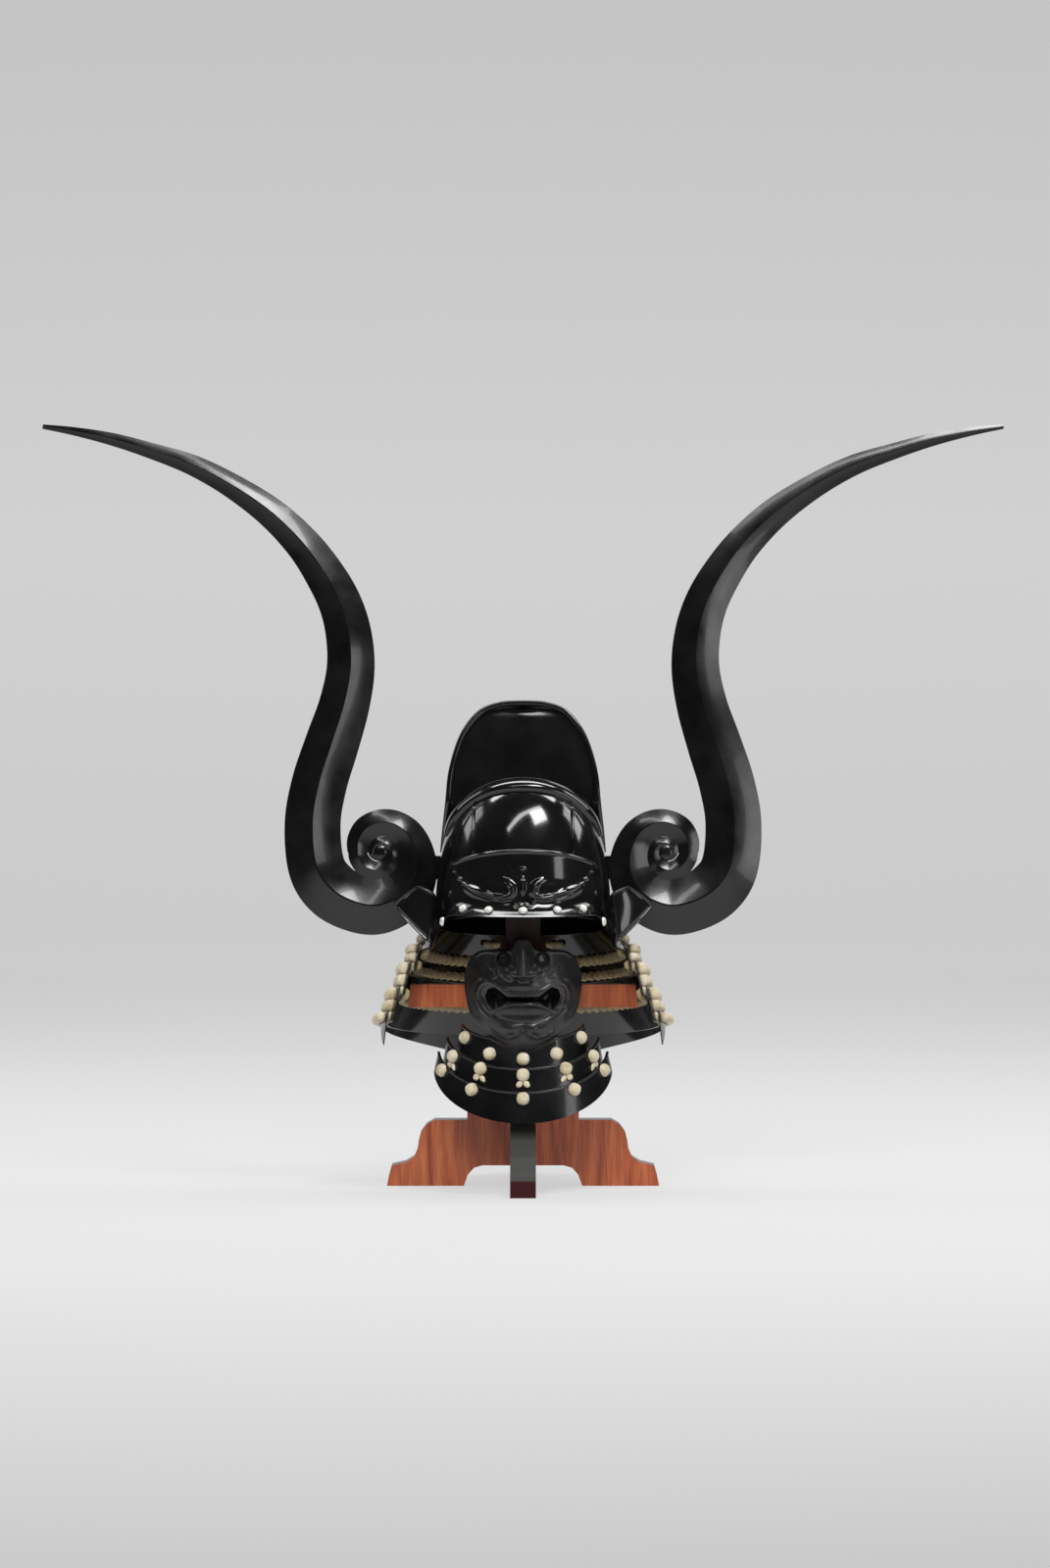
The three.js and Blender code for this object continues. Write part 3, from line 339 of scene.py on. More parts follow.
def build(name, shape, material, matrix=DISPLAY, sharp=40, bevel=0.0, replaces=()):
    """Makes a piece from millimetre points and faces, smooth apart from edges over the sharp angle."""
    piece = add_mesh(name, shape, material, matrix)
    piece.data.set_sharp_from_angle(angle=math.radians(sharp))
    if bevel:
        round_edges(piece, bevel, sharp).harden_normals = True
    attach(piece, "root")
    if replaces:
        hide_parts(*replaces)
    return piece


def grid_faces(rows, columns):
    return [(r * columns + c, r * columns + c + 1, (r + 1) * columns + c + 1, (r + 1) * columns + c)
            for r in range(rows - 1) for c in range(columns - 1)]


def grid_mesh(rows):
    return [p for row in rows for p in row], grid_faces(len(rows), len(rows[0]))


def grid_edge(rows, columns):
    """The points round a grid's border, first down its left side."""
    ring = [r * columns for r in range(rows)]
    ring += [(rows - 1) * columns + c for c in range(1, columns)]
    ring += [r * columns + columns - 1 for r in range(rows - 2, -1, -1)]
    return ring + list(range(columns - 2, 0, -1))


def sheet_mesh(outer, inner):
    """Points and faces of a closed sheet between an outer and an inner grid."""
    points, faces = grid_mesh(outer)
    size = len(points)
    points += grid_mesh(inner)[0]
    faces += [(a + size, d + size, c + size, b + size) for a, b, c, d in faces]
    ring = grid_edge(len(outer), len(outer[0]))
    faces += [(a, b, b + size, a + size) for a, b in zip(ring, ring[1:] + ring[:1])]
    return points, faces


def tube_mesh(rings, caps=True):
    """Points and faces of a tube through rings with the same number of points."""
    count = len(rings[0])
    points = [p for ring in rings for p in ring]
    faces = [(a + i, a + (i + 1) % count, a + count + (i + 1) % count, a + count + i)
             for a in range(0, (len(rings) - 1) * count, count) for i in range(count)]
    if caps:
        last = (len(rings) - 1) * count
        faces.append(tuple(reversed(range(count))))
        faces.append(tuple(last + i for i in range(count)))
    return points, faces


def join_meshes(parts):
    points, faces = [], []
    for part_points, part_faces in parts:
        shift = len(points)
        points += part_points
        faces += [tuple(i + shift for i in face) for face in part_faces]
    return points, faces


def lay(material, *names):
    for name in names:
        data = nodes[name].data
        data.materials.clear()
        data.materials.append(material)


# Bowl

BOWL_SECTIONS = [
    [0, 1, 1], [0.18, 1, 1], [0.32, 0.978, 0.98], [0.46, 0.947, 0.953], [0.575, 0.911, 0.905],
    [0.67, 0.865, 0.85], [0.75, 0.8, 0.79], [0.82, 0.715, 0.72], [0.885, 0.6, 0.635],
    [0.94, 0.455, 0.53], [0.978, 0.3, 0.39], [0.997, 0.13, 0.18],
]


def oval(angle, half_width, half_length):
    bend = 2 / BOWL["power"]
    s, c = math.sin(angle), math.cos(angle)
    return [half_width * math.copysign(abs(s) ** bend, s), -half_length * math.copysign(abs(c) ** bend, c)]


def bowl_halves(z):
    share = z / BOWL["height"]
    return (BOWL["half_width"] * read(BOWL_SECTIONS, share, 1),
            BOWL["half_length"] * read(BOWL_SECTIONS, share, 2))


def on_bowl(angle, z, offset):
    half_width, half_length = bowl_halves(z)
    return [*oval(angle, half_width + offset, half_length + offset), z]


def on_bowl_at(x, z, offset):
    half_width, half_length = bowl_halves(z)
    across = min(abs(x) / (half_width + offset), 1)
    return [x, -(half_length + offset) * (1 - across ** BOWL["power"]) ** (1 / BOWL["power"]), z]


def angle_at(x, z, offset=0):
    half_width = bowl_halves(z)[0] + offset
    return math.copysign(math.asin(min(abs(x) / half_width, 1) ** (BOWL["power"] / 2)), x)


def bowl_rings(offset, count, sides):
    table = BOWL_SECTIONS + [[1, 0.012, 0.016]]
    rings = []
    for t in spread(0, 1, count):
        rise, wide, long = catmull(table, t)
        z = min(rise, 1) * BOWL["height"] + (offset if t else 0)
        wide = max(BOWL["half_width"] * wide + offset, 0.4)
        long = max(BOWL["half_length"] * long + offset, 0.4)
        rings.append([[*oval(turn, wide, long), z] for turn in circle(sides)])
    return rings


def make_bowl():
    sides = 128
    outer = bowl_rings(0, 56, sides)
    inner = bowl_rings(-BOWL["wall"], 30, sides)
    points, faces = tube_mesh(outer + list(reversed(inner)), caps=False)
    count = len(outer) + len(inner)
    faces += [(i, (count - 1) * sides + i, (count - 1) * sides + (i + 1) % sides, (i + 1) % sides)
              for i in range(sides)]
    build("bowl_skin", (points, faces), LACQUER, HELMET, replaces=["bowl"])


# Rear crown

CROWN_SECTIONS = [
    [0.33, 1.045, 0.1, 0.97], [0.42, 1.02, 0.35, 1], [0.543, 0.978, 0.75, 0.94],
    [0.658, 0.948, 0.7, 0.85], [0.768, 0.879, 0.53, 0.73], [0.86, 0.78, 0.38, 0.62],
    [0.934, 0.633, 0.24, 0.49], [0.976, 0.49, 0.13, 0.38], [1, 0.28, 0.05, 0.3],
]


# The rounded rim from the dished front outward: distance in from the outline, distance behind its front.
RIM_PROFILE = [(7.2, RIM["depth"] + 1.5), (7.0, 2.4), (6.5, 0.9), (5.6, 0.0), (4.0, -0.5), (2.0, -0.3),
               (0.7, 0.7), (0, 2.4)]


def heading(places, i):
    """The direction of a row of places at place i."""
    ahead, behind = places[min(i + 1, len(places) - 1)], places[max(i - 1, 0)]
    return Vector((ahead[0] - behind[0], ahead[1] - behind[1])).normalized()


def crown_arch(count):
    """The outline up one side, over the top and down the other, as [x, z, front y, back y]."""
    half = [[CROWN["half_width"] * wide, CROWN["height"] * rise, -CROWN["front_gap"] * front,
             CROWN["back_reach"] * back] for rise, wide, front, back in CROWN_SECTIONS]
    half.append([CROWN["half_width"] * 0.1, CROWN["height"] + 1.6, -1.0, CROWN["back_reach"] * 0.28])
    rows = half + [[-x, z, front, back] for x, z, front, back in reversed(half)]
    return [catmull(rows, t) for t in spread(0, 1, count)]


def crown_inset(arch, inset):
    """The arch moved inward by an even distance."""
    moved = []
    for i, (x, z, front, _) in enumerate(arch):
        along = heading(arch, i)
        moved.append([x - along.y * inset, front, z + along.x * inset])
    return moved


def make_crown():
    """A round-edged rim, a shell that closes at the back, and the dished front inside the rim."""
    arch = crown_arch(161)
    rows = [[[x, y + behind, z] for x, y, z in crown_inset(arch, inset)] for inset, behind in RIM_PROFILE]
    for share in spread(0, 1, 30)[1:]:
        turn = share * math.pi / 2
        row = []
        for x, z, front, back in arch:
            start = front + RIM_PROFILE[-1][1]
            row.append([x * math.cos(turn) ** 0.85, start + (back - start) * math.sin(turn) ** 1.1, z])
        rows.append(row)
    edge = crown_inset(arch, RIM["width"] - 0.6)
    dish = [[[x * u, y + RIM["depth"] + RIM["hollow"] * (1 - u * u), z] for u in spread(1, -1, 33)]
            for x, y, z in edge[:len(arch) // 2]]
    shape = join_meshes([grid_mesh(rows), grid_mesh(dish)])
    build("crown_shell", shape, LACQUER, HELMET, sharp=60, replaces=["rear_crown"])


# Crown band and ribs

BAND_PATH = [
    [-77, 0.61], [-71, 0.69], [-63, 0.765], [-54, 0.83], [-43, 0.875], [-30, 0.9], [-15, 0.913],
    [0, 0.916], [15, 0.913], [30, 0.9], [43, 0.875], [54, 0.83], [63, 0.765], [71, 0.69], [77, 0.61],
]


def bowl_normal(angle, z):
    around = Vector(on_bowl(angle + 0.01, z, 0)) - Vector(on_bowl(angle - 0.01, z, 0))
    up = Vector(on_bowl(angle, z + 3, 0)) - Vector(on_bowl(angle, z - 3, 0))
    return around.cross(up).normalized()


def bowl_strip(path, section, taper=0.0):
    """A strip on the bowl along [angle, z] places; section lists sideways places and heights."""
    rings = []
    for i, (angle, z) in enumerate(path):
        ahead = Vector(on_bowl(*path[min(i + 1, len(path) - 1)], 0))
        behind = Vector(on_bowl(*path[max(i - 1, 0)], 0))
        along = (ahead - behind).normalized()
        out = bowl_normal(angle, z)
        side = along.cross(out).normalized()
        here = Vector(on_bowl(angle, z, 0))
        near_end = min(i, len(path) - 1 - i) / max(taper * len(path), 1)
        grow = min(1, 0.35 + 0.65 * math.sin(min(near_end, 1) * math.pi / 2))
        rings.append([here + side * (u * grow) + out * (h * grow) for u, h in section])
    return tube_mesh(rings)


def rounded_section(width, height, count, power):
    half = [(-width / 2 * math.cos(math.pi * t), height * math.sin(math.pi * t) ** power)
            for t in spread(0, 1, count)]
    return [(-width / 2, -2.5)] + half + [(width / 2, -2.5)]


def band_place(t):
    angle, share = catmull(BAND_PATH, t)
    return math.radians(angle), share * BOWL["height"]


def make_band():
    path = [band_place(t) for t in spread(0, 1, 110)]
    shape = bowl_strip(path, rounded_section(BAND["width"], BAND["height"], 15, 0.55), 0.16)
    build("crown_band_roll", shape, LACQUER, HELMET, sharp=70, replaces=["crown_band"])


def band_height_at(x):
    places = [band_place(t) for t in spread(0, 0.5, 60)]
    return min(places, key=lambda place: abs(abs(on_bowl(*place, 0)[0]) - abs(x)))[1]


def make_ribs():
    for side, name in ((-1, "left"), (1, "right")):
        foot = brow_row(angle_at(RIB["spread"], BROW["top"]), 0)[0]
        top = band_height_at(RIB["spread"]) - BAND["width"] * 0.4
        path = [(angle_at(side * RIB["spread"], z), z) for z in spread(foot, top, 24)]
        shape = bowl_strip(path, rounded_section(RIB["width"], RIB["height"], 9, 0.8))
        build(f"rib_{name}_ridge", shape, LACQUER, HELMET, sharp=70,
              replaces=[f"rib_{name}"])


# Brow plate

BROW_SECTIONS = [
    [0, 1, 0.145], [0.35, 0.7, 0.145], [0.62, 0.42, 0.15], [0.8, 0.24, 0.2], [0.9, 0.12, 0.48],
    [1, 0, 1],
]


def brow_row(angle, down):
    side = (abs(angle) / math.radians(BROW["half_angle"])) ** 2
    top = BROW["top"] - BROW["drop"] * side
    lip = BROW["lip"] + BROW["sag"] * (0.65 * side - side ** 4)
    z = lip + (top - lip) * read(BROW_SECTIONS, down, 1)
    share = read(BROW_SECTIONS, down, 2)
    flat = BROW_SECTIONS[0][2]
    flare = BROW["flare"] * (flat + (share - flat) * (1 - 0.45 * side))
    return z, flare + BROW["lift"]


# Lines of the relief on the right half: [x, z] places, half width and height.
BROW_LINES = [
    ([(75, 43), (63, 35.5), (49, 28.5), (36, 23), (24, 20.5), (16, 23), (12.5, 28), (13.5, 35),
      (18, 41), (25, 45)], 3.2, 4.6),
    ([(16, 22), (12, 17), (10, 12)], 2.4, 2.6),
    ([(0, 47), (0, 36), (0, 26)], 2.0, 3.4),
    ([(0, 13), (8, 10), (14, 11)], 1.8, 1.6),
    ([(70, 44), (81, 50), (88, 60), (90, 72)], 1.6, 1.3),
    ([(30, 17), (45, 20), (60, 26), (70, 34), (76, 42)], 2.0, 1.6),
]


def brow_relief(x, z):
    side = abs(x)
    height = 0
    for path, width, rise in BROW_LINES:
        away, along = distance_to_path(side, z, path)
        taper = min(1, 0.3 + 3.5 * min(along, 1 - along))
        height = max(height, rise * taper * bell(away, 0, width * (0.75 + 0.5 * taper)))
    # The swellings over the eyes, between the lines, and the small boss above them.
    swelling = 2.6 * bump(side, z, 42, 34, 24, 7) + 1.4 * bump(side, z, 0, 33, 9, 16)
    return height + swelling + 2.2 * bump(side, z, 0, 58, 3.4, 1.8)


def brow_surface(angle, down, depth):
    z, offset = brow_row(angle, down)
    base = on_bowl(angle, max(z, 0), offset - depth)
    if depth == 0:
        edge = 1 - step(down, 0.86, 0.03)
        side = abs(angle) / math.radians(BROW["half_angle"])
        below = brow_row(angle, 0)[0] - z
        bead = (2.6 - 1.6 * side) * bell(below, 2.6, 2.4)
        lift = (brow_relief(base[0], z) * edge + bead) * (1 - step(side, 0.97, 0.012))
        base = on_bowl(angle, max(z, 0), offset + lift)
    return [base[0], base[1], z]


def make_brow():
    half = math.radians(BROW["half_angle"])
    angles = [half * math.copysign(abs(t) ** 1.35, t) for t in spread(-1, 1, 251)]
    downs = spread(0, 0.8, 84) + spread(0.8, 1, 20)[1:]
    sides = [[[brow_surface(a, d, depth) for a in angles] for d in downs] for depth in (0, BROW["wall"])]
    build("brow_plate_relief", sheet_mesh(*sides), LACQUER, HELMET, sharp=50, bevel=0.8,
          replaces=["brow_plate"])


def on_brow(x, z, lift):
    angle, offset = angle_at(x, max(z, 0)), 0
    for _ in range(8):
        rows = [brow_row(angle, down) for down in spread(1, 0, 60)]
        offset = read(rows, z, 1)
        angle = angle_at(x, max(z, 0), offset)
    place = on_bowl_at(x, max(z, 0), offset + lift)
    return Vector((place[0], place[1], z))


def dome_mesh(base, out, radius, height, sides, rows, lobes=0, lobe_depth=0.0):
    """A rounded cap on a surface, with soft lobes round it where asked."""
    turn = Vector((0, 0, 1)).rotation_difference(out)
    rings = []
    for t in spread(0, 0.97, rows):
        angle = t * math.pi / 2
        ring = []
        for around in circle(sides):
            lobe = 0.5 + 0.5 * math.cos(lobes * around)
            pinch = 1 - lobe_depth * lobe * math.sin(math.pi * (1 - t) / 1.6)
            reach = radius * math.cos(angle) ** 0.8 * pinch
            ring.append(base + turn @ Vector((reach * math.cos(around), reach * math.sin(around),
                                              height * math.sin(angle) ** 0.9)))
        rings.append(ring)
    return tube_mesh(rings)


RIVET_PLACES = [-0.89, -0.665, -0.38, 0, 0.38, 0.665, 0.89]


def make_rivets():
    for number, share in enumerate(RIVET_PLACES, 1):
        x = share * BOWL["half_width"]
        angle = min(abs(angle_at(x, 0)), math.radians(BROW["half_angle"]))
        z = brow_row(angle, 1)[0] + BROW["rivet_lift"]
        across = on_brow(x + 3, z, 0) - on_brow(x - 3, z, 0)
        up = on_brow(x, z + 4, 0) - on_brow(x, z - 4, 0)
        out = across.cross(up).normalized()
        base = on_brow(x, z, 0) + out * (RIVET["lift"] * 0.4)
        shape = dome_mesh(base, out, RIVET["radius"], RIVET["height"] + 0.8, 32, 12)
        build(f"rivet_head_{number}", shape, SILVER, HELMET, replaces=[f"brow_rivet_{number}"])


# Neck guard

LAMES = [
    {"name": "neck_lame_top", "foot": 0.711, "high": 0.064, "low": -0.229},
    {"name": "neck_lame_2", "foot": 0.771, "high": -0.166, "low": -0.395},
    {"name": "neck_lame_3", "foot": 0.855, "high": -0.318, "low": -0.592},
    {"name": "neck_lame_4", "foot": 0.937, "high": -0.522, "low": -0.809},
    {"name": "neck_lame_bottom", "foot": 1, "high": -0.726, "low": -1},
]
LACINGS = [[0.5, 0.97, 10], [0.03, 0.97, 11], [0.03, 0.97, 11], [0.03, 0.97, 11], [0.03, 0.3, 11]]
FOOT_CUT = [[0, 0], [18, 0.1], [42, 0.36], [66, 0.54], [90, 0.66], [99, 0.6], [104, 0.3], [109, 0]]
CORD_PITCH = 12.6
CORD_LENGTH = 13


def lame_top(index):
    if index == 0:
        return BOWL["half_width"] + GAP + 0.2 + LAME["wall"]
    lame, above = LAMES[index], LAMES[index - 1]
    seat = LACE["thickness"] + 2 * GAP + LAME["wall"]
    down = (lame["high"] - above["high"]) / (above["low"] - above["high"])
    lap = (lame["high"] - above["low"]) / (lame["high"] - lame["low"])
    foot = lame["foot"] * NECK["foot_half_width"]
    clear_foot = (lame_width(index - 1, 1) + seat - foot * lap) / (1 - lap)
    return max(lame_width(index - 1, down) + seat, clear_foot)


def lame_width(index, down):
    top = lame_top(index)
    return top + (LAMES[index]["foot"] * NECK["foot_half_width"] - top) * down


def on_lame(index, angle, down, offset):
    """A point on a lame: the angle runs from the back, down from its top to its foot."""
    lame = LAMES[index]
    if lame is LAMES[-1]:
        down = min(down, 1) * (1 - read(FOOT_CUT, math.degrees(abs(angle)), 1)) if down > 0.34 else down
    width = lame_width(index, down) + offset
    length = width + BOWL["half_length"] - BOWL["half_width"]
    z = NECK["drop"] * (lame["high"] + (lame["low"] - lame["high"]) * down)
    return Vector((width * math.sin(angle), length * math.cos(angle), z))


def make_lames():
    for index, lame in enumerate(LAMES):
        steps = LAME["front_steps"] if index else LAME["top_steps"]
        end = math.radians(steps * LAME["step"])
        angles = spread(-end, end, 121)
        downs = spread(0, 1, 9)
        lifts = (-0.6 if index else 0, -LAME["wall"])
        parts = [sheet_mesh(*[[[on_lame(index, a, d, lift) for a in angles] for d in downs]
                              for lift in lifts])]
        if index == 0:
            parts += [wing_mesh(1), wing_mesh(-1)]
        build(lame["name"] + "_skin", join_meshes(parts), LACQUER, HELMET, sharp=45, bevel=0.7,
              replaces=[lame["name"]])


WING_FOOT = {"x": 116.5, "y": -72, "z": -32}
WING_CORNERS = {
    "inner_top": [-0.13, -0.05, 0.86], "outer_top": [0.31, 0.12, 1],
    "outer_foot": [1, 0.48, 0.7], "inner_foot": [0, 0, 0],
}


def rounded_square(u, v):
    """Pulls the corners of the unit square in so that they are round."""
    x, y = 2 * u - 1, 2 * v - 1
    pull = 1 - 0.07 * (x * y) ** 4
    return 0.5 + 0.5 * x * pull, 0.5 + 0.5 * y * pull


def wing_mesh(side):
    """A turned-back wing: a domed panel in a bead, folded out of the lame's front end."""
    def corner(name):
        across, back, up = WING_CORNERS[name]
        return Vector((side * (WING_FOOT["x"] + across * WING["reach"]),
                       WING_FOOT["y"] + back * WING["reach"], WING_FOOT["z"] + up * WING["height"]))
    a, b, c, d = (corner(n) for n in ("inner_top", "outer_top", "outer_foot", "inner_foot"))
    normal = (b - d).cross(c - a).normalized() * side
    normal = -normal if normal.y > 0 else normal
    end = side * math.radians(LAME["top_steps"] * LAME["step"])

    def face(lift):
        grid = []
        for v in spread(0, 1, 49):
            root = on_lame(0, end, v, -LAME["wall"] / 2) + normal * lift
            first = a.lerp(d, rounded_square(0, v)[1]) + normal * lift
            row = [root, root.lerp(first, 0.4), root.lerp(first, 0.8)]
            for u in spread(0, 1, 49):
                su, sv = rounded_square(u, v)
                place = a.lerp(b, su).lerp(d.lerp(c, su), sv)
                border = min(u, 1 - u, v, 1 - v) * 60
                panel = step(border, 5.5, 0.5)
                rise = 2.2 * bell(border, 1.6, 1.5) + 1.2 * panel if lift > 0 else 0
                bulge = WING["wall"] * (0.95 * math.sin(math.pi * u) + 0.7 * math.sin(math.pi * v))
                row.append(place + normal * (lift + bulge + rise))
            grid.append(row)
        return grid
    return sheet_mesh(face(WING["wall"] / 2), face(-WING["wall"] / 2))


def knot_mesh(centre, along, out, side, length, width, height, sides=12, rows=8):
    """A thick stretch of cord that rises out of the plate, bows and goes back in."""
    rings = []
    for t in spread(0, 1, rows):
        swell = max(1 - abs(2 * t - 1) ** 3.2, 0.04) ** 0.5
        here = centre + along * (length * (t - 0.5))
        rings.append([here + side * (width / 2 * swell * math.cos(turn))
                      + out * (height * swell * (0.42 + 0.58 * math.sin(turn))) for turn in circle(sides)])
    return tube_mesh(rings)


def lame_directions(index, angle, down):
    here = on_lame(index, angle, down, 0)
    side = (on_lame(index, angle + 0.01, down, 0) - here).normalized()
    along = (on_lame(index, angle, down + 0.01, 0) - here).normalized()
    out = along.cross(side).normalized()
    if out.dot(Vector((here.x, here.y, 0))) < 0:
        out = -out
    return here, side, along, out


def arc_angles(index, down, steps, pitch):
    """Angles along a lame that lie one pitch apart, up to its front ends."""
    end = math.radians(steps * LAME["step"])
    fine = spread(-end, end, 721)
    lengths = [0]
    for a, b in zip(fine, fine[1:]):
        lengths.append(lengths[-1] + (on_lame(index, b, down, 0) - on_lame(index, a, down, 0)).length)
    count = int(lengths[-1] / pitch)
    margin = (lengths[-1] - (count - 1) * pitch) / 2
    angles, k = [], 0
    for n in range(count):
        want = margin + n * pitch
        while lengths[k + 1] < want:
            k += 1
        share = (want - lengths[k]) / (lengths[k + 1] - lengths[k])
        angles.append(fine[k] + (fine[k + 1] - fine[k]) * share)
    return angles


def knot_row(index, down, steps, tall, width, height):
    """One row of cords round a lame."""
    knots = []
    for angle in arc_angles(index, down, steps, CORD_PITCH):
        here, side, along, out = lame_directions(index, angle, down)
        knots.append(knot_mesh(here + out * GAP, along, out, side, tall, width, height))
    return knots


def make_lacing():
    """Stacked rows of thick cords, standing out where each lame shows."""
    for index, (start, end, steps) in enumerate(LACINGS):
        lame = LAMES[index]
        shown = end
        if index + 1 < len(LAMES):
            shown = (LAMES[index + 1]["high"] - lame["high"]) / (lame["low"] - lame["high"])
        height = (on_lame(index, 0, shown, 0) - on_lame(index, 0, start, 0)).length
        rows = max(1, round(height / CORD_LENGTH))
        parts = []
        for row in range(rows):
            down = start + (shown - start) * (row + 0.5) / rows
            parts += knot_row(index, down, steps, height / rows * 1.04, CORD_PITCH * 1.02, LACE["knot"])
        if shown < end:
            tail = (on_lame(index, 0, end, 0) - on_lame(index, 0, shown, 0)).length
            parts += knot_row(index, (shown + end) / 2, steps, tail, CORD_PITCH * 0.8,
                              LACE["thickness"] * 0.9)
        build(lame["name"].replace("lame", "cords"), join_meshes(parts), SILK, HELMET,
              replaces=[lame["name"].replace("lame", "lacing")])


# Rows of knots on the inside: lame, place on the way down, the angles they cover and their height.
INNER_ROWS = [(0, 0.93, -104, 104, 16), (0, 0.42, -27, -14, 10), (0, 0.42, 14, 27, 10),
              (1, 0.76, -106, 106, 12), (2, 0.95, -106, 106, 16)]


def make_inner_knots():
    parts = []
    for index, down, start, end, tall in INNER_ROWS:
        for angle in arc_angles(index, down, LAME["front_steps"], CORD_PITCH):
            if not math.radians(start) <= angle <= math.radians(end):
                continue
            here, side, along, out = lame_directions(index, angle, down)
            inside = here - out * (LAME["wall"] + 0.3)
            parts.append(knot_mesh(inside, along, -out, side, tall, CORD_PITCH * 0.98, 7.5))
    # The inside knots take the darker silk as painted shade.
    build("neck_inner_knots", join_meshes(parts), SILK_SHADED_INSIDE, HELMET)


# Side crests

CREST_PATH = [
    [1, 1, 0.08], [0.932, 0.99, 0.155], [0.85, 0.973, 0.235], [0.768, 0.949, 0.295],
    [0.686, 0.921, 0.378], [0.604, 0.879, 0.45], [0.522, 0.824, 0.555], [0.455, 0.76, 0.64],
    [0.408, 0.696, 0.722], [0.377, 0.638, 0.775], [0.36, 0.577, 0.822], [0.356, 0.51, 0.858],
    [0.369, 0.437, 0.906], [0.394, 0.359, 0.967], [0.419, 0.281, 0.989], [0.432, 0.203, 0.995],
]
COIL_OUTER = [
    [-12, 1.15, 1.01], [-38, 1.08, 1.045], [-65, 1.0, 1.02], [-90, 0.955, 0.99], [-120, 0.86, 0.9],
    [-150, 0.735, 0.77], [-180, 0.635, 0.655], [-212, 0.59, 0.575], [-242, 0.56, 0.52],
    [-270, 0.53, 0.485], [-300, 0.49, 0.46], [-330, 0.435, 0.415], [-360, 0.393, 0.36],
]
COIL_INNER = [
    [6, 0.4, 0.33], [-15, 0.385, 0.345], [-45, 0.36, 0.35], [-80, 0.325, 0.325], [-120, 0.28, 0.3],
    [-160, 0.235, 0.28], [-200, 0.205, 0.255], [-240, 0.185, 0.235], [-280, 0.165, 0.215],
    [-320, 0.145, 0.195], [-360, 0.12, 0.17], [-400, 0.095, 0.15], [-440, 0.07, 0.13],
]


def coil_point(row):
    angle, radius, width = row
    turn = math.radians(angle)
    return [COIL["x"] + radius * COIL["radius"] * math.cos(turn),
            COIL["z"] + radius * COIL["radius"] * math.sin(turn), width * CREST["half_width"]]


# A quarter of the crest's section, a little hollow: place across from the edge, share of the depth.
CREST_HOLLOW = [(1, 0), (0.66, 0.3), (0.33, 0.62), (0.03, 1)]


def crest_loft(path, steps):
    """Diamond sections with a ridge front and back; the faces are a little hollow."""
    places = [catmull(path, t) for t in spread(0, 1, steps)]
    rings = []
    for i, (x, z, half_width) in enumerate(places):
        along = heading(places, i)
        deep = CREST["depth_share"] * half_width + CREST["edge"]
        edge = CREST["edge"]
        quarter = [(u, edge + (deep - edge) * share) for u, share in CREST_HOLLOW]
        half = [(half_width * u, y) for u, y in quarter]
        half += [(-half_width * u, y) for u, y in reversed(quarter)]
        section = half + [(-across, -y) for across, y in half]
        rings.append([[x - along.y * across, y, z + along.x * across] for across, y in section])
    return tube_mesh(rings)


def make_crests():
    stem = [[across * CREST["span"] / 2, up * CREST["height"], width * CREST["half_width"]]
            for across, up, width in CREST_PATH]
    outer = crest_loft(stem + [coil_point(row) for row in COIL_OUTER], 260)
    inner = crest_loft([coil_point(row) for row in COIL_INNER], 100)
    rings = []
    for t in spread(0.02, 0.98, 14):
        angle = math.pi * t
        reach = COIL["button"] * math.sin(angle)
        rings.append([[COIL["x"] + reach * math.cos(turn), -0.5 * COIL["button"] * math.cos(angle),
                       COIL["z"] + reach * math.sin(turn)] for turn in circle(24)])
    points, faces = join_meshes([outer, inner, tube_mesh(rings)])
    for side, name in ((1, "right"), (-1, "left")):
        placed = [(side * p[0], p[1], p[2]) for p in points]
        turned = faces if side > 0 else [tuple(reversed(f)) for f in faces]
        build(f"crest_{name}_carved", (placed, turned), LACQUER_HAND, HELMET, sharp=14, bevel=0.5,
              replaces=[f"crest_{name}"])


# Face mask

MASK_OUTLINE = [
    [0, 1, 0], [0.1, 0.995, 0], [0.2, 0.91, 0.02], [0.3, 0.895, 0.045], [0.45, 0.895, 0.085],
    [0.58, 0.893, 0.13], [0.72, 0.885, 0.197], [0.82, 0.86, 0.248], [0.9, 0.815, 0.33],
    [0.96, 0.75, 0.43], [1, 0.66, 0.56],
]
MASK_PROFILE = [[0, 0.9], [0.1, 0.955], [0.25, 1], [0.45, 1], [0.65, 0.985], [0.85, 0.945], [1, 0.9]]


def mask_level(share):
    return MASK["chin"] + share * (MASK["top"] - MASK["chin"])


def smooth_face(x, z):
    share = (z - MASK["chin"]) / (MASK["top"] - MASK["chin"])
    forward = MASK["front"] * read(MASK_PROFILE, min(max(share, 0), 1), 1)
    return -forward + MASK["sweep"] * (abs(x) / MASK["half_width"]) ** 2.3


def nose_height(x, z):
    up = (z - NOSE["tip"]) / (MASK["top"] - NOSE["tip"])
    fall = bell(z, NOSE["tip"], 6) if z < NOSE["tip"] else 1 - 0.62 * min(up, 1)
    width = NOSE["width"] * (1 - 0.3 * max(up, 0))
    return NOSE["height"] * fall * bell(x, 0, width)


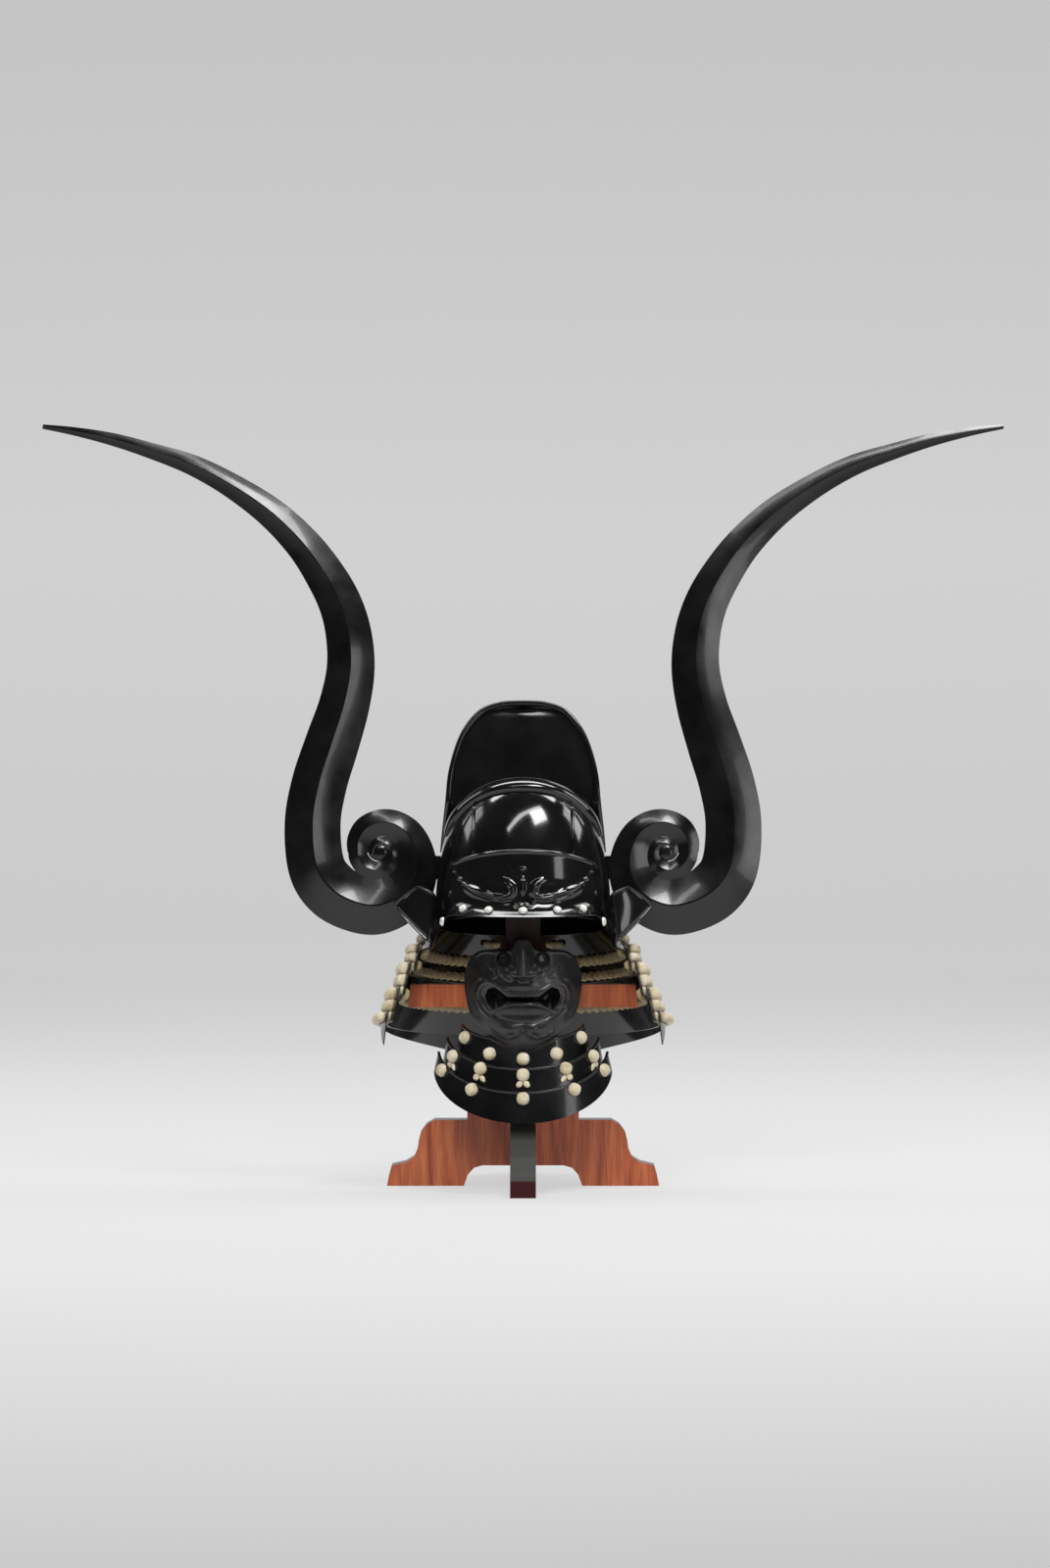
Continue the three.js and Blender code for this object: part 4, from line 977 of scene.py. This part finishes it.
# Raised folds of the right half of the mask: a line of (x, z) places, half width and height.
FOLDS = [
    ([(0, 250.7), (16, 251.4), (27, 255.5), (37, 261)], 1.7, 2.2),
    ([(0, 247.6), (16, 248), (22, 249.5)], 1.3, 1.0),
    ([(0, 237), (12, 236.6), (24, 234), (33, 230), (38, 226.5)], 3.2, 3.4),
    ([(37, 262), (46, 264.5), (54, 259), (58, 250), (58, 240), (53, 229), (44, 220)], 2.0, 2.0),
    ([(45, 259), (51, 255), (53, 246), (50, 236), (44, 227)], 1.6, 1.4),
    ([(52, 270), (61, 264), (66, 252), (65, 238), (58, 224)], 2.2, 1.3),
    ([(32, 283), (28, 274), (21, 268), (13, 265.5)], 1.7, 2.0),
    ([(9, 299), (7.5, 290), (9, 281)], 1.4, 1.3),
    ([(0, 203.5), (5, 201), (12, 195.5), (19, 194), (30, 197), (40, 204)], 1.6, 2.0),
    ([(38, 268), (33, 272), (37, 279), (44, 284)], 1.6, 1.4),
    ([(34, 300), (44, 301), (54, 299), (60, 294)], 1.5, 1.3),
]
CREASE = [(0, 213.5), (14, 214.3), (28, 218), (39, 225)]
MOUTH = [
    (0, 244.6), (20, 245.5), (28, 252), (36, 257.5), (44, 254), (47, 246), (44, 236), (39, 231),
    (36, 230.5), (33.5, 240), (30.5, 231.5), (26, 234), (20, 239), (0, 238.5),
]


# Swellings and hollows of the right half: height, x, z, half width and half height.
SWELLINGS = [(7.5, 15, 275, 6.5, 6), (6, 50, 268, 15, 16), (-3, 9, 267, 3.0, 2.4), (7, 0, 259, 27, 8),
             (4, 0, 236, 34, 6), (-3, 0, 223, 28, 6), (7, 13, 204, 13, 8)]
EYE = {"x": 24, "z": 292.4, "radius": 7.8, "depth": 13}


def face_relief(x, z):
    side = abs(x)
    relief = nose_height(x, z) + sum(rise * bump(side, z, *place) for rise, *place in SWELLINGS)
    relief -= EYE["depth"] * (1 - step(math.hypot(side - EYE["x"], z - EYE["z"]), EYE["radius"], 0.9))
    for path, width, rise in FOLDS:
        away, along = distance_to_path(side, z, path)
        taper = min(1, 4 * min(along + 0.1, 1.1 - along)) if path[0][0] else min(1, 4 * (1.1 - along))
        relief += rise * taper * bell(away, 0, width)
    away, along = distance_to_path(side, z, CREASE)
    return relief - 1.8 * min(1, 4 * (1.1 - along)) * bell(away, 0, 1.8)


def inside_mouth(x, z):
    inside = False
    path = MOUTH + [(-a, b) for a, b in reversed(MOUTH[1:-1])]
    for (ax, az), (bx, bz) in zip(path, path[1:] + path[:1]):
        if (az > z) != (bz > z) and x < (bx - ax) * (z - az) / (bz - az) + ax:
            inside = not inside
    return inside


def mouth_depth(x, z):
    """How deep a place lies inside the mouth's outline."""
    if not inside_mouth(x, z):
        return 0
    return distance_to_path(abs(x), z, MOUTH)[0]


def make_mask():
    columns = spread(-1, 1, 221)
    rows = spread(1, 0, 191)
    outer = []
    for v in rows:
        row = []
        for u in columns:
            top = mask_level(read(MASK_OUTLINE, abs(u), 1))
            foot = mask_level(read(MASK_OUTLINE, abs(u), 2))
            z = foot + v * (top - foot)
            x = u * MASK["half_width"]
            y = smooth_face(x, z) - face_relief(x, z)
            y += 22 * (1 - math.exp(-mouth_depth(x, z) / 1.4))
            row.append([x, y, z])
        outer.append(row)
    points, faces = grid_mesh(outer)
    # The sides run straight back from the outline to the mask's rear edge.
    ring = grid_edge(len(rows), len(columns))[::-1]
    base = len(points)
    for i in ring:
        x, y, z = points[i]
        points += [[x, y + (-MASK["back"] - y) * depth, z] for depth in (0.5, 1)]
    for k, i in enumerate(ring):
        n = (k + 1) % len(ring)
        here, ahead = base + 2 * k, base + 2 * n
        faces += [(i, here, ahead, ring[n]), (here, here + 1, ahead + 1, ahead)]
    build("mask_carved", (points, faces), LACQUER_WORN, sharp=55, replaces=["face_mask"])


# Throat guard

THROAT_LAMES = [
    {"top": 77, "foot": 84, "slope": 13, "high": (192, 209), "low": (150, 178),
     "knots": [(0, 0.37), (31, 0.5), (65, 0.3)]},
    {"top": 96, "foot": 101, "slope": 10, "high": (158, 192), "low": (121, 162),
     "knots": [(0, 0.24), (33, 0.22), (63, 0.27)]},
    {"top": 107, "foot": 113, "slope": 12, "high": (129, 174), "low": (90, 148),
     "knots": [(0, 0.22), (36, 0.22), (68, 0.27)]},
]


def throat_top(index):
    if index == 0:
        return THROAT["chin_reach"]
    lame, above = THROAT_LAMES[index], THROAT_LAMES[index - 1]
    down = (lame["high"][0] - above["low"][0]) / (lame["high"][0] - lame["low"][0])
    return throat_top(index - 1) + above["slope"] + GAP + THROAT["wall"] - lame["slope"] * down


def throat_point(index, angle, down, offset):
    lame = THROAT_LAMES[index]
    lift = (1 - math.cos(angle)) / (1 - math.cos(math.radians(THROAT["tip_angle"])))
    across = lame["top"] * abs(math.sin(angle)) / MASK["half_width"]
    chin = mask_level(read(MASK_OUTLINE, min(across, 1), 2)) - 2 * GAP
    top = lame["high"][0] + (lame["high"][1] - lame["high"][0]) * lift
    top = min(top, chin) if across < 1.05 else top
    foot = lame["low"][0] + (lame["low"][1] - lame["low"][0]) * lift
    reach = lame["top"] + (lame["foot"] - lame["top"]) * down + offset
    forward = throat_top(index) + lame["slope"] * down + offset
    return Vector((reach * math.sin(angle), -THROAT["centre"] - forward * math.cos(angle),
                   top + (foot - top) * down))


def throat_frame(index, angle, down):
    here = throat_point(index, angle, down, 0)
    across = throat_point(index, angle + 0.04, down, 0) - here
    below = throat_point(index, angle, down + 0.04, 0) - here
    return here, across.normalized(), below.normalized(), below.cross(across).normalized()


def throat_bead(lame, down):
    """The rolled top edge of a throat lame, in millimetres of height."""
    drop = (lame["high"][0] - lame["low"][0]) * down
    return 1.3 * bell(drop, 1.4, 1.2)


def make_throat():
    end = math.radians(THROAT["tip_angle"])
    for index, lame in enumerate(THROAT_LAMES):
        angles = spread(-end, end, 121)
        downs = spread(0, 0.12, 12) + spread(0.12, 1, 14)[1:]
        outer = [[throat_point(index, a, d, throat_bead(lame, d)) for a in angles] for d in downs]
        inner = [[throat_point(index, a, d, -THROAT["wall"]) for a in angles] for d in downs]
        build(f"throat_lame_{index + 1}_skin", sheet_mesh(outer, inner), LACQUER_HAND, sharp=45,
              bevel=0.7, replaces=[f"throat_lame_{index + 1}"])
        half = lame["knots"]
        places = [(-a, d) for a, d in reversed(half[1:])] + list(half)
        tails = []
        for number, (angle, down) in enumerate(places, 1):
            here, across, below, out = throat_frame(index, math.radians(angle), down)
            out = -out if out.y > 0 else out
            head = dome_mesh(here + out * 0.2, out, KNOT["radius"], KNOT["height"] + 1.4, 36, 14, 4, 0.06)
            build(f"throat_knot_head_{index + 1}_{number}", head, SILK,
                  replaces=[f"throat_knot_{index + 1}_{number}"])
            if index == 1:
                for shift in (-0.52, 0.52):
                    centre = here + below * (KNOT["radius"] + 3.5) + out * 0.2
                    centre += across * (KNOT["radius"] * shift)
                    tails.append(knot_mesh(centre, (below + across * shift * 0.5).normalized(), out, across,
                                           9, 8, 3.6))
        if tails:
            build("throat_knot_tails", join_meshes(tails), SILK)


# Stand

def make_stand():
    lay(LACQUER, "crest_socket_right", "crest_socket_left")
    for name, wood in (("stand_board_face", WOOD_FACE), ("stand_board_side", WOOD_SIDE)):
        lay(wood, name)
        round_edges(nodes[name], 1.2, 40)


# Studio

def add_area(name, place, target, size, height, power, turn=0):
    light = bpy.data.lights.new(name, "AREA")
    light.shape = "RECTANGLE"
    light.size = size
    light.size_y = height
    light.energy = power
    lamp = add_object(name, light)
    lamp.location = place
    aim = (Vector(target) - Vector(place)).to_track_quat("-Z", "Y")
    lamp.rotation_euler = (aim @ Quaternion((0, 0, 1), math.radians(turn))).to_euler()


# The studio's paper, seen from the side: metres back and up.
PAPER_SWEEP = [(-6, 0), (-3, 0), (0, 0), (3, 0), (5.6, 0), (6.6, 0.15), (7.3, 0.7), (7.6, 1.8), (7.7, 3.4),
               (7.7, 6.5)]
PAPER_HALF_WIDTH = 6000
# Painted light of the paper, which glows though it is no lamp: metres along its sweep from the stand,
# brightness. The front of the floor falls off as painted shade.
PAPER_PAINTED_LIGHT = [(-3.0, 0.26), (-2.2, 0.36), (-0.9, 0.52), (0.2, 0.56), (1.5, 0.56), (5.4, 0.51), (8.8, 0.57),
              (10.5, 0.5), (14.0, 0.42)]


def make_paper():
    """A pale floor that sweeps up behind the stand and glows a little: painted light, darker at the front
    of the floor.
    """
    points = []
    count = 80
    for t in spread(0, 1, count):
        y, z = catmull(PAPER_SWEEP, t)
        points += [(side * PAPER_HALF_WIDTH, y * 1000, max(z, 0) * 1000) for side in (-1, 1)]
    shader = Shader("studio_paper")
    shader.set(Roughness=0.9, Base_Color=(0.2, 0.2, 0.2, 1), Emission_Strength=1.0)
    where = shader.node("ShaderNodeTexCoord")
    parts = shader.node("ShaderNodeSeparateXYZ", {"Vector": where.outputs["Object"]})
    along = shader.add(parts.outputs["Y"], parts.outputs["Z"])
    start, end = PAPER_PAINTED_LIGHT[0][0], PAPER_PAINTED_LIGHT[-1][0]
    stops = [((place - start) / (end - start), (glow, glow, glow * 1.01)) for place, glow in PAPER_PAINTED_LIGHT]
    # Painted light: the paper's emission follows the table along its sweep.
    shader.link(shader.ramp(shader.rescale(along, start, end, 0, 1), stops), "Emission Color")
    add_mesh("studio_sweep", (points, grid_faces(count, 2)), shader.material, Matrix())


CAMERA = {"x": 0.0025, "distance": 5.2, "height": 0.511, "lens": 93.6, "sensor": 36}
# Soft lights: name, place, what it points at, width, height, watts, turn about its own axis.
LIGHTS = [
    ("soft_box", (0.9, -1.2, 3.4), (0, 0, 0.45), 1.0, 0.75, 40),
    ("strip", (0.05, -1.3, 3.5), (0, 0, 0.45), 2.6, 0.22, 16, 35),
    ("ceiling", (0.0, 0.9, 3.4), (0, 0.1, 0.4), 3.4, 0.5, 45),
    ("left_side", (-2.2, 0.8, 2.2), (0, 0, 0.4), 1.2, 1.2, 14),
    ("right_side", (2.2, 0.8, 2.2), (0, 0, 0.4), 1.2, 1.2, 20),
    ("window", (1.9, -1.7, 1.0), (0, 0, 0.45), 0.55, 1.3, 7),
    ("fill", (-0.5, -2.8, 2.4), (0, 0, 0.3), 1.4, 1.4, 65),
]


def make_studio():
    scene = bpy.context.scene
    camera_data = bpy.data.cameras.new("camera")
    camera_data.lens = CAMERA["lens"]
    camera_data.sensor_width = CAMERA["sensor"]
    camera = add_object("camera", camera_data)
    camera.location = (CAMERA["x"], SET_BACK - CAMERA["distance"], CAMERA["height"])
    camera.rotation_euler = (math.pi / 2, 0, 0)
    scene.camera = camera
    scene.view_settings.view_transform = "Standard"

    world = bpy.data.worlds.new("studio")
    scene.world = world
    world.use_nodes = True
    # The room is dim to the lacquer and pale to look at, for views past the paper's edge.
    tree = world.node_tree
    dim = tree.nodes["Background"]
    dim.inputs["Color"].default_value = (0.9, 0.92, 1.0, 1)
    dim.inputs["Strength"].default_value = 0.035
    pale = tree.nodes.new("ShaderNodeBackground")
    pale.inputs["Color"].default_value = (0.55, 0.55, 0.55, 1)
    either = tree.nodes.new("ShaderNodeMixShader")
    tree.links.new(tree.nodes.new("ShaderNodeLightPath").outputs["Is Camera Ray"], either.inputs["Fac"])
    tree.links.new(dim.outputs[0], either.inputs[1])
    tree.links.new(pale.outputs[0], either.inputs[2])
    tree.links.new(either.outputs[0], tree.nodes["World Output"].inputs["Surface"])
    make_paper()

    for light in LIGHTS:
        add_area(*light)
    # The fill lights wood and silk, and isn't mirrored in the lacquer.
    bpy.data.objects["fill"].visible_glossy = False


make_bowl()
make_crown()
make_band()
make_ribs()
make_brow()
make_rivets()
make_lames()
make_lacing()
make_inner_knots()
make_crests()
make_mask()
make_throat()
make_stand()
make_studio()
